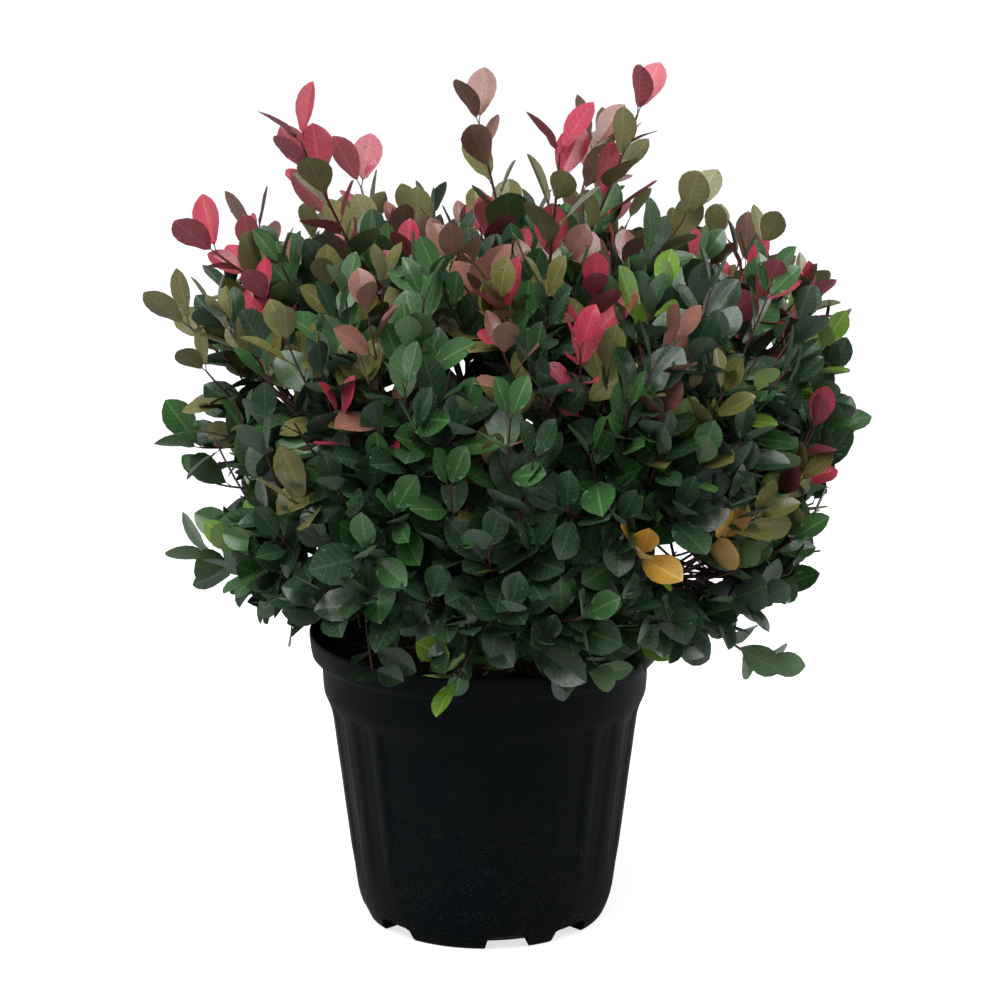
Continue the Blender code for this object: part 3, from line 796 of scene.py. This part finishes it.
VEIN_STRENGTH = {"upper": 0.7, "rib": 0.0, "under": 1.0}
VEIN_TINT = (0.055, 0.060, 0.030)


def leaf_finish(colour_name, side, colour):
    made, tree, shader = new_material(f"leaf_{colour_name}_{side}")
    tone, lines = group_nodes(tree, "ShaderNodeGroup", "ShaderNodeGroup")
    tone.node_tree = mottle
    lines.node_tree = veins
    tone.inputs["Colour"].default_value = (*colour, 1.0)
    tone.inputs["Amount"].default_value = 0.6
    strength = value_ramp(tree, lines.outputs["Mask"], 0.0, 1.0, 0.0, VEIN_STRENGTH[side])
    veined = colour_mix(tree, strength, tone.outputs["Colour"], VEIN_TINT, "ADD")
    feed(tree, shader.inputs["Base Color"], veined)
    if side == "under":
        shader.inputs["Roughness"].default_value = 0.62
    else:
        linked(tree, tone, "Roughness", shader, "Roughness")
        relief(tree, shader, tone.outputs["Height"], 0.12, 0.0004)
    shader.inputs["Coat Weight"].default_value = COAT_WEIGHTS[side]
    shader.inputs["Coat Roughness"].default_value = 0.16
    shader.inputs["Specular IOR Level"].default_value = 0.34
    return made


leaf_finishes = {
    name: [leaf_finish(name, side, colour) for side, colour in zip(("upper", "rib", "under"), colours)]
    for name, colours in LEAF_COLOURS.items()
}
print("leaf materials:", sum(len(found) for found in leaf_finishes.values()))

# %% [markdown]
# ## Setting the leaves
# Thousands of copies are the work of Geometry Nodes. Each colour has a cloud of points, one at each leaf's
# root, which carry the leaf's turn, size and form. The tree sets a form on every point, makes the copies real,
# and gives the three sides of the blades their materials.


# %% Tree helpers
def new_tree(name, *entries):
    """A geometry tree with these inputs after the geometry, and its first and last nodes."""
    tree = bpy.data.node_groups.new(name, "GeometryNodeTree")
    for label, kind in (("Geometry", "Geometry"), *entries):
        tree.interface.new_socket(label, in_out="INPUT", socket_type=f"NodeSocket{kind}")
    tree.interface.new_socket("Geometry", in_out="OUTPUT", socket_type="NodeSocketGeometry")
    return tree, *group_nodes(tree, "NodeGroupInput", "NodeGroupOutput")


def chain(tree, *nodes):
    """Passes the geometry from each node to the next."""
    for node, after in zip(nodes, nodes[1:]):
        tree.links.new(node.outputs[0], after.inputs[0])


def named_value(tree, name, kind):
    node = tree.nodes.new("GeometryNodeInputNamedAttribute")
    node.data_type = kind
    node.inputs["Name"].default_value = name
    return node.outputs["Attribute"]


def side_is(tree, mark):
    """Whether a face is on the side of its leaf that has this mark."""
    same = tree.nodes.new("FunctionNodeCompare")
    same.data_type = "INT"
    same.operation = "EQUAL"
    feed(tree, same.inputs[2], named_value(tree, "side", "INT"))
    same.inputs[3].default_value = mark
    return same.outputs["Result"]


def forms_on_points(tree, entry):
    """Nodes that set a form from a collection on every point and make the copies real."""
    bring, put, real = group_nodes(
        tree, "GeometryNodeCollectionInfo", "GeometryNodeInstanceOnPoints", "GeometryNodeRealizeInstances"
    )
    bring.inputs["Separate Children"].default_value = True
    bring.inputs["Reset Children"].default_value = True
    put.inputs["Pick Instance"].default_value = True
    linked(tree, entry, "Forms", bring, "Collection")
    linked(tree, bring, "Instances", put, "Instance")
    return put, real


def run_tree(obj, tree, settings):
    """Adds a geometry tree to an object, with these values for its inputs."""
    modifier = obj.modifiers.new(tree.name, "NODES")
    modifier.node_group = tree
    for item in tree.interface.items_tree:
        if item.item_type == "SOCKET" and item.in_out == "INPUT" and item.name in settings:
            modifier[item.identifier] = settings[item.name]


# %% Leaf tree
SIDES = ("Upper", "Rib", "Under")


def leaf_tree():
    tree, entry, leave = new_tree("set_leaves", ("Forms", "Collection"), *((side, "Material") for side in SIDES))
    put, real = forms_on_points(tree, entry)
    for name, kind, target in (
        ("form", "INT", "Instance Index"),
        ("turn", "FLOAT_VECTOR", "Rotation"),
        ("size", "FLOAT", "Scale"),
    ):
        feed(tree, put.inputs[target], named_value(tree, name, kind))
    paints = []
    for mark, side in enumerate(SIDES):
        paint = tree.nodes.new("GeometryNodeSetMaterial")
        feed(tree, paint.inputs["Selection"], side_is(tree, mark))
        linked(tree, entry, side, paint, "Material")
        paints.append(paint)
    chain(tree, entry, put, real, *paints, leave)
    return tree


set_leaves = leaf_tree()

# %% Leaf pieces
def point_cloud(name, found):
    mesh = bpy.data.meshes.new(name)
    mesh.vertices.add(len(found))
    mesh.vertices.foreach_set("co", [value for root, *_ in found for value in root])
    turn = mesh.attributes.new("turn", "FLOAT_VECTOR", "POINT")
    turn.data.foreach_set("vector", [value for _, turn, *_ in found for value in turn])
    size = mesh.attributes.new("size", "FLOAT", "POINT")
    size.data.foreach_set("value", [size for _, _, size, _ in found])
    form = mesh.attributes.new("form", "INT", "POINT")
    form.data.foreach_set("value", [form for *_, form in found])
    return object_from(name, mesh)


LEAF_NAMES = {
    "deep": "deep_green_leaves",
    "green": "mid_green_leaves",
    "fresh": "lime_leaves",
    "olive": "olive_leaves",
    "copper": "copper_leaves",
    "red": "red_leaves",
    "gold": "gold_leaves",
}
SLOTS = {"deep": "foliage_low", "green": "foliage_middle", "fresh": "foliage_middle"}
MOST_LEAVES = 1900
leaf_pieces = []
for colour, found in leaves.items():
    for part in range(0, len(found), MOST_LEAVES):
        name = LEAF_NAMES[colour] + (f"_{part // MOST_LEAVES + 1}" if len(found) > MOST_LEAVES else "")
        cloud = point_cloud(f"{name}_points", found[part : part + MOST_LEAVES])
        run_tree(cloud, set_leaves, {"Forms": forms, **dict(zip(SIDES, leaf_finishes[colour]))})
        leaf_pieces.append((plain_mesh(cloud, name), SLOTS.get(colour, "foliage_top")))
foliage_nodes = [f"foliage_{label}" for label, _, _ in masses]
for i, (piece, slot) in enumerate(leaf_pieces):
    finish_piece(piece, slot, *(foliage_nodes if i == 0 else ()))

# %% [markdown]
# ## Rain drops
# The plant stands wet: small drops bead on the waxy upper sides of the leaves. They are low domes of a few
# faces, scattered by Geometry Nodes on the upper faces of the finished leaves, and turned with the face. Water
# is clear, so each drop is a smooth shell with little colour of its own and a sharp gloss.


# %% Drop tree
DROP_DENSITY = 2600.0
DROP_RADIUS = 0.0012
DROP_FLATNESS = 0.55
SCATTER_INPUTS = (("Density", "Float"), ("Size", "Float"), ("Seed", "Int"), ("Material", "Material"))


def random_value(tree, entry, kind, low, high):
    node = tree.nodes.new("FunctionNodeRandomValue")
    node.data_type = kind
    first, output = (0, 0) if kind == "FLOAT_VECTOR" else (2, 1)
    node.inputs[first].default_value = low
    node.inputs[first + 1].default_value = high
    linked(tree, entry, "Seed", node, "Seed")
    return node.outputs[output]


def scatter_nodes(tree, entry, leave, put, real):
    """Scatters points on the faces for put, gives its copies random sizes, and paints them."""
    scatter, paint = group_nodes(tree, "GeometryNodeDistributePointsOnFaces", "GeometryNodeSetMaterial")
    size = random_value(tree, entry, "FLOAT", 0.35, 1.0)
    feed(tree, put.inputs["Scale"], math_node(tree, "MULTIPLY", size, entry.outputs["Size"]))
    linked(tree, entry, "Density", scatter, "Density")
    linked(tree, entry, "Seed", scatter, "Seed")
    linked(tree, entry, "Material", paint, "Material")
    chain(tree, entry, scatter, put, real, paint, leave)
    return scatter


def drop_tree():
    tree, entry, leave = new_tree("scatter_drops", *SCATTER_INPUTS)
    ball, flat, put, real = group_nodes(
        tree,
        "GeometryNodeMeshIcoSphere",
        "GeometryNodeTransform",
        "GeometryNodeInstanceOnPoints",
        "GeometryNodeRealizeInstances",
    )
    ball.inputs["Subdivisions"].default_value = 1
    ball.inputs["Radius"].default_value = 1.0
    flat.inputs["Scale"].default_value = (1.0, 1.0, DROP_FLATNESS)
    scatter = scatter_nodes(tree, entry, leave, put, real)
    feed(tree, scatter.inputs["Selection"], side_is(tree, 0))
    linked(tree, scatter, "Rotation", put, "Rotation")
    linked(tree, ball, "Mesh", flat, "Geometry")
    linked(tree, flat, "Geometry", put, "Instance")
    return tree


water, _, water_shader = new_material("water_drop")
water_shader.inputs["Base Color"].default_value = (0.42, 0.50, 0.44, 1.0)
water_shader.inputs["Roughness"].default_value = 0.06
water_shader.inputs["IOR"].default_value = 1.33
water_shader.inputs["Transmission Weight"].default_value = 0.85
scatter_drops = drop_tree()
for number, (piece, _) in enumerate(leaf_pieces):
    wet = object_from(f"{piece.name}_wet", piece.data.copy())
    settings = {"Density": DROP_DENSITY, "Size": DROP_RADIUS, "Seed": number, "Material": water}
    run_tree(wet, scatter_drops, settings)
    drops = plain_mesh(wet, f"drops_on_{piece.name}")
    drops.data.shade_smooth()
    finish_piece(drops, "foliage_top")

# %% [markdown]
# ## Twigs, shoots and leaf stalks
# Wood follows paths, so it is also made by Geometry Nodes: each line becomes a spline with a radius at every
# point, and the tree sweeps a small polygon along it. Old twigs are brown-red bark, while the young shoots and
# the stalks of the leaves are smooth and dark red.


# %% Sweep tree
def sweep_tree():
    tree, entry, leave = new_tree("sweep_wood", ("Sides", "Int"), ("Material", "Material"))
    ring, sweep, real, paint, thick = group_nodes(
        tree,
        "GeometryNodeCurvePrimitiveCircle",
        "GeometryNodeCurveToMesh",
        "GeometryNodeRealizeInstances",
        "GeometryNodeSetMaterial",
        "GeometryNodeInputRadius",
    )
    ring.inputs["Radius"].default_value = 1.0
    sweep.inputs["Fill Caps"].default_value = True
    linked(tree, entry, "Sides", ring, "Resolution")
    linked(tree, ring, "Curve", sweep, "Profile Curve")
    if "Scale" in sweep.inputs:
        linked(tree, thick, "Radius", sweep, "Scale")
    linked(tree, entry, "Material", paint, "Material")
    chain(tree, entry, sweep, real, paint, leave)
    return tree


sweep_wood = sweep_tree()


def swept(name, lines, sides, finish):
    """One mesh of tapering wood along (places, radii) lines."""
    curve = bpy.data.curves.new(f"{name}_lines", "CURVE")
    curve.dimensions = "3D"
    for places, radii in lines:
        spline = curve.splines.new("POLY")
        spline.points.add(len(places) - 1)
        spline.points.foreach_set("co", [value for place in places for value in (*place, 1.0)])
        spline.points.foreach_set("radius", radii)
    obj = object_from(curve.name, curve)
    run_tree(obj, sweep_wood, {"Sides": sides, "Material": finish})
    made = plain_mesh(obj, name)
    made.data.shade_smooth()
    return made


# %% Wood finishes
def wood_finish(name, dark, light, scale, roughness, depth):
    made, tree, shader = new_material(name)
    grain = noise_texture(tree, scale, 6.0, 0.62)
    shade = value_ramp(tree, grain, 0.35, 0.65, 0.0, 1.0)
    feed(tree, shader.inputs["Base Color"], colour_mix(tree, shade, dark, light))
    relief(tree, shader, grain, 0.6, depth)
    shader.inputs["Roughness"].default_value = roughness
    return made


bark_finish = wood_finish("bark", (0.040, 0.020, 0.014), (0.150, 0.095, 0.065), 160.0, 0.85, 0.0008)
twig_finish = wood_finish("twig_bark", (0.028, 0.012, 0.011), (0.075, 0.036, 0.030), 300.0, 0.65, 0.0003)
shoot_finish = wood_finish("red_shoot", (0.028, 0.009, 0.012), (0.080, 0.022, 0.024), 260.0, 0.45, 0.0002)
print("wood materials: 3")

# %% Twigs and shoots
twig_lines = [(line, tapering(0.0023, 0.0014, len(line) - 1)) for line in stems.values()]
for lines in twigs.values():
    twig_lines += [(line, tapering(0.0014, 0.0008, len(line) - 1)) for line in lines]
shoot_lines = [(line, tapering(0.0014, 0.0008, len(line) - 1)) for line in shoots]
shoot_lines += [(line, tapering(0.0018, 0.0009, len(line) - 1)) for line, _ in leaders]
stalk_lines = [([a, b], [0.00055, 0.00045]) for a, b in petioles]
finish_piece(swept("twigs", twig_lines, 6, twig_finish), "bark")
finish_piece(swept("young_shoots", shoot_lines, 5, shoot_finish), "bark")
finish_piece(swept("leaf_stalks", stalk_lines, 3, shoot_finish), "bark")

# %% [markdown]
# ## The trunk and the boughs
# The trunk is short and mostly hidden, with a flare at its foot and a knuckle where the boughs leave it. One
# swept mesh stands for the trunk and all fifteen boughs, and its points are then pushed in and out by noise
# that is stretched along the wood, which gives the shallow cracks of young bark.

# %% Bark piece
BARK_RELIEF = 0.0006
TRUNK_SHARES = (0.0, 0.06, 0.14, 0.26, 0.40, 0.56, 0.70, 0.82, 0.92, 1.0, 1.08, 1.15, 1.22)
TRUNK_RADII = (16.0, 13.6, 11.2, 9.4, 8.7, 8.5, 9.0, 10.2, 11.4, 12.2, 11.4, 9.0, 4.0)
TRUNK_FOOT = Vector((-0.004, 0.0, 0.2163))


def trunk_line():
    rise = FORK.z - TRUNK_FOOT.z
    places = [
        Vector((TRUNK_FOOT.x * max(0.0, 1.0 - share) ** 1.5, 0.0, TRUNK_FOOT.z + rise * share))
        for share in TRUNK_SHARES
    ]
    return places, [radius / 1000.0 for radius in TRUNK_RADII]


bark_lines = [trunk_line()] + [(line, tapering(0.0032, 0.0023, len(line) - 1)) for line in boughs]
bark = swept("bark_wood", bark_lines, 12, bark_finish)
for vert in bark.data.vertices:
    stretched = Vector((vert.co.x * 420.0, vert.co.y * 420.0, vert.co.z * 90.0))
    vert.co += vert.normal * (BARK_RELIEF * noise.noise(stretched))
    vert.co.z = max(vert.co.z, TRUNK_FOOT.z)
finish_piece(bark, "bark", "trunk", *(f"bough_{label}" for label, _, _ in masses))

# %% [markdown]
# ## The pot
# A nursery pot is blown or moulded from black plastic in one thin wall: a rolled lip, a collar that lets pots
# stack, a body with wide panels and flutes that stiffen it, and a foot with paired drain notches. The wall is a
# turned profile, with the panels pressed in by a rule that reads the angle round the pot, and the notches cut
# by rounded blocks. A turned profile follows the real outline closely, which a plain cone would not.

# %% Pot profile
POT_TURNS = 240
FRONT = math.radians(-90.0)
WIDE_HALF = math.radians(42.0)
FLUTE_PITCH = math.radians(18.0)
FLUTE_HALF = math.radians(5.2)
PANEL_TOP = 0.182
PANEL_FOOT = 0.036
PANEL_DEPTH = 0.0015
PANEL_LIP = 0.0008
PANEL_RUNOUT = 0.030
EDGE_TURN = math.radians(1.6)
OUTER = (
    (0.1372, 0.2340), (0.1376, 0.2368), (0.1386, 0.2379), (0.1398, 0.2378), (0.1405, 0.2366),
    (0.1405, 0.2340), (0.1400, 0.2290), (0.1393, 0.2230), (0.1386, 0.2196), (0.1372, 0.2180),
    (0.1345, 0.2172), (0.1320, 0.2168), (0.1312, 0.2158), (0.1309, 0.2140), (0.1304, 0.2050),
    (0.1299, 0.1950), (0.1294, 0.1895), (0.1288, 0.1872), (0.1276, 0.1842), (0.1268, 0.1822),
    (0.1266, 0.1818), (0.1264, 0.1812),
    (0.1258, 0.1800), (0.1246, 0.1764), (0.1236, 0.1726), (0.1230, 0.1690), (0.1218, 0.1600),
    (0.1194, 0.1400), (0.1168, 0.1200), (0.1144, 0.1000), (0.1119, 0.0800), (0.1094, 0.0600),
    (0.1070, 0.0450), (0.1056, 0.0360), (0.1048, 0.0300), (0.1038, 0.0230), (0.1022, 0.0160),
    (0.1003, 0.0100), (0.0984, 0.0055), (0.0970, 0.0026), (0.0955, 0.0008), (0.0940, 0.0000),
)
INNER = (
    (0.0, 0.0030), (0.0500, 0.0030), (0.0860, 0.0030), (0.0902, 0.0050), (0.0925, 0.0090),
    (0.1010, 0.0300), (0.1110, 0.1100), (0.1208, 0.1870), (0.1262, 0.1950), (0.1280, 0.2150),
    (0.1350, 0.2175), (0.1366, 0.2260),
)


def held(value):
    return min(1.0, max(0.0, value))


def press(angle, height):
    """How deep the panels and flutes are pressed into the wall, at an angle round the pot."""
    fade = held((PANEL_TOP - height) / PANEL_LIP) * held((height - PANEL_FOOT) / PANEL_RUNOUT)
    turn = (angle - FRONT + math.pi / 2) % math.pi - math.pi / 2
    if abs(turn) <= WIDE_HALF:
        inside = WIDE_HALF - abs(turn)
    else:
        step = (abs(turn) - WIDE_HALF - FLUTE_PITCH / 2) % FLUTE_PITCH
        inside = FLUTE_HALF - min(step, FLUTE_PITCH - step)
    return PANEL_DEPTH * fade * held(inside / EDGE_TURN)


# %% Pot wall
NOTCH_PAIRS = 4
FIRST_PAIR = -63.0
PAIR_SPREAD = 16.5
NOTCH_HALF = 0.0195
NOTCH_HEIGHT = 0.0125
NOTCH_BACK = 0.072


def turned_ring(bm, radius, height, pressed):
    ring = []
    for i in range(POT_TURNS):
        angle = 2.0 * math.pi * i / POT_TURNS
        r = radius - (press(angle, height) if pressed else 0.0)
        ring.append(bm.verts.new((r * math.cos(angle), r * math.sin(angle), height)))
    return ring


def skin(bm, rings):
    """Faces between rings of points that follow each other."""
    for first, second in zip(rings, rings[1:]):
        for i in range(len(first)):
            j = (i + 1) % len(first)
            bm.faces.new((first[i], second[i], second[j], first[j]))


def cap(bm, ring, centre):
    for i, vert in enumerate(ring):
        bm.faces.new((vert, ring[(i + 1) % len(ring)], centre))


def pot_wall():
    bm = bmesh.new()
    rings = [turned_ring(bm, r, z, True) for r, z in OUTER]
    rings += [turned_ring(bm, r, 0.0, False) for r in (0.0915, 0.06)]
    base = bm.verts.new((0.0, 0.0, 0.0))
    inner = [turned_ring(bm, r, z, False) for r, z in INNER[1:]]
    heart = bm.verts.new((0.0, 0.0, INNER[0][1]))
    skin(bm, rings)
    skin(bm, [*inner, rings[0]])
    cap(bm, rings[-1], base)
    cap(bm, inner[0], heart)
    bmesh.ops.recalc_face_normals(bm, faces=bm.faces)
    return object_from("pot_wall", mesh_from(bm, "pot_wall"))


def notch_cutter(index, azimuth):
    """A rounded block that opens one drain notch, with sides that lean in towards its roof."""
    bm = bmesh.new()
    bmesh.ops.create_cube(bm, size=1.0)
    for vert in bm.verts:
        lean = 0.82 if vert.co.z > 0 else 1.0
        vert.co.x = NOTCH_BACK if vert.co.x < 0 else 0.15
        vert.co.y = math.copysign(NOTCH_HALF * lean, vert.co.y)
        vert.co.z = NOTCH_HEIGHT if vert.co.z > 0 else -0.01
    roof = [edge for edge in bm.edges if all(vert.co.z > 0 for vert in edge.verts)]
    bmesh.ops.bevel(bm, geom=roof, offset=0.0025, segments=3, affect="EDGES")
    bm.transform(Matrix.Rotation(math.radians(azimuth), 4, "Z"))
    return bpy.data.objects.new(f"notch_{index}", mesh_from(bm, f"notch_{index}"))


pot = pot_wall()
cutters = bpy.data.collections.new("notch_cutters")
scene.collection.children.link(cutters)
for i in range(NOTCH_PAIRS):
    for turn in (-PAIR_SPREAD, PAIR_SPREAD):
        cutters.objects.link(notch_cutter(len(cutters.objects), FIRST_PAIR + 90.0 * i + turn))
cut = pot.modifiers.new("Notches", "BOOLEAN")
cut.operation = "DIFFERENCE"
cut.operand_type = "COLLECTION"
cut.collection = cutters
cut.solver = "EXACT"
pot = plain_mesh(pot, "nursery_pot")
for cutter in list(cutters.objects):
    bpy.data.objects.remove(cutter)
pot.data.shade_smooth()
pot.data.set_sharp_from_angle(angle=math.radians(32.0))
print("pot faces:", len(pot.data.polygons))

# %% [markdown]
# ### Black plastic with dust
# The plastic is nearly black with a cool tinge and a satin skin. Dust and splashed compost lie on it as pale
# specks, thickest near the foot, and a thin grey film dulls it in soft patches. Both are masks that mix the
# base colour, and the film also raises the roughness, so the gloss dulls where the film lies.


# %% Pot finish
BARE_PLASTIC = (0.0008, 0.0021, 0.0029)
FILMED_PLASTIC = (0.0038, 0.0046, 0.0048)
DUST = (0.085, 0.086, 0.080)


def pot_finish():
    made, tree, shader = new_material("dusty_black_plastic")
    place, split, specks = group_nodes(
        tree, "ShaderNodeTexCoord", "ShaderNodeSeparateXYZ", "ShaderNodeTexVoronoi"
    )
    linked(tree, place, "Object", split, "Vector")
    linked(tree, place, "Object", specks, "Vector")
    specks.inputs["Scale"].default_value = 640.0
    film = noise_texture(tree, 14.0, 5.0, 0.6)
    low = value_ramp(tree, split.outputs["Z"], 0.02, 0.20, 1.0, 0.12)
    speck = value_ramp(tree, specks.outputs["Distance"], 0.06, 0.25, 1.0, 0.0)
    patch = value_ramp(tree, noise_texture(tree, 60.0, 3.0, 0.7), 0.40, 0.64, 0.0, 1.0)
    dust = math_node(tree, "MULTIPLY", math_node(tree, "MULTIPLY", speck, patch), low)
    filmed = value_ramp(tree, film, 0.42, 0.80, 0.0, 0.55)
    plastic = colour_mix(tree, filmed, BARE_PLASTIC, FILMED_PLASTIC)
    feed(tree, shader.inputs["Base Color"], colour_mix(tree, dust, plastic, DUST))
    feed(tree, shader.inputs["Roughness"], value_ramp(tree, film, 0.30, 0.75, 0.40, 0.60))
    shader.inputs["Specular IOR Level"].default_value = 0.05
    relief(tree, shader, noise_texture(tree, 900.0, 2.0, 0.5), 0.18, 0.0003)
    return made


pot.data.materials.clear()
pot.data.materials.append(pot_finish())
finish_piece(pot, "pot", "pot")

# %% [markdown]
# ## The compost
# Potting compost is dark and crumbly, with bark chips on top. A disc of fine rings is lifted and sunk by noise
# for the crumbs, and its side follows the inside of the pot down to the floor, so nothing hollow shows through
# the rim. Chips are scattered on the top by Geometry Nodes with a fixed seed.

# %% Compost body
COMPOST_TOP = 0.2155
COMPOST_EDGE = 0.1276
COMPOST_RINGS = 44
COMPOST_TURNS = 180
COMPOST_FLOOR = 0.0034
COMPOST_SIDE = ((0.1258, 0.1952), (0.1204, 0.1868), (0.1006, 0.0300), (0.0898, 0.0052), (0.0500, COMPOST_FLOOR))


def compost_body():
    bm = bmesh.new()

    def ring(radius, height, lumpy):
        made = []
        for i in range(COMPOST_TURNS):
            angle = 2.0 * math.pi * i / COMPOST_TURNS
            place = Vector((radius * math.cos(angle), radius * math.sin(angle), height))
            if lumpy:
                lift = 0.0028 * noise.noise(place * 38.0) + 0.0022 * noise.noise(place * 130.0)
                place.z += lift + 0.0012 * noise.noise(place * 420.0)
            made.append(bm.verts.new(place))
        return made

    rings = [ring(COMPOST_EDGE * (i + 1) / COMPOST_RINGS, COMPOST_TOP, True) for i in range(COMPOST_RINGS)]
    rings += [ring(r, z, False) for r, z in COMPOST_SIDE]
    skin(bm, rings)
    cap(bm, rings[0], bm.verts.new((0.0, 0.0, COMPOST_TOP)))
    cap(bm, rings[-1], bm.verts.new((0.0, 0.0, COMPOST_FLOOR)))
    bmesh.ops.recalc_face_normals(bm, faces=bm.faces)
    mesh = mesh_from(bm, "compost_bed")
    mesh.shade_smooth()
    return object_from("compost_bed", mesh)


compost_finish = wood_finish("compost", (0.010, 0.007, 0.005), (0.050, 0.034, 0.024), 220.0, 0.95, 0.002)
compost = compost_body()
compost.data.materials.append(compost_finish)
finish_piece(compost, "compost", "compost")


# %% Bark chips
def chip_form(name, seed):
    rng = random.Random(seed)
    bm = bmesh.new()
    bmesh.ops.create_icosphere(bm, subdivisions=1, radius=1.0)
    for vert in bm.verts:
        vert.co.x *= rng.uniform(0.7, 1.2)
        vert.co.y *= 0.55 * rng.uniform(0.6, 1.2)
        vert.co.z *= 0.22 * rng.uniform(0.6, 1.2)
    return mesh_from(bm, name)


def chip_tree():
    tree, entry, leave = new_tree("scatter_chips", ("Forms", "Collection"), *SCATTER_INPUTS)
    put, real = forms_on_points(tree, entry)
    scatter_nodes(tree, entry, leave, put, real)
    spin = random_value(tree, entry, "FLOAT_VECTOR", (-0.5, -0.5, -3.14), (0.5, 0.5, 3.14))
    feed(tree, put.inputs["Rotation"], spin)
    return tree


chips = bpy.data.collections.new("chip_forms")
for i in range(5):
    chips.objects.link(bpy.data.objects.new(f"chip_form_{i}", chip_form(f"chip_form_{i}", i)))
scatter_chips = chip_tree()
chip_finish = wood_finish("bark_chip", (0.110, 0.064, 0.040), (0.340, 0.220, 0.140), 180.0, 0.9, 0.0008)
crumb_finish = wood_finish("crumb", (0.012, 0.009, 0.007), (0.060, 0.042, 0.030), 180.0, 0.95, 0.0008)
for name, density, size, seed, finish in (
    ("bark_chips", 2600.0, 0.0080, 3, chip_finish),
    ("compost_crumbs", 26000.0, 0.0026, 4, crumb_finish),
):
    ground = bmesh.new()
    bmesh.ops.create_circle(ground, cap_ends=True, segments=64, radius=0.122)
    bmesh.ops.translate(ground, verts=ground.verts, vec=(0.0, 0.0, COMPOST_TOP + 0.0006))
    bed = object_from(f"{name}_bed", mesh_from(ground, f"{name}_ground"))
    settings = {"Forms": chips, "Density": density, "Seed": seed, "Size": size, "Material": finish}
    run_tree(bed, scatter_chips, settings)
    finish_piece(plain_mesh(bed, name), "compost")
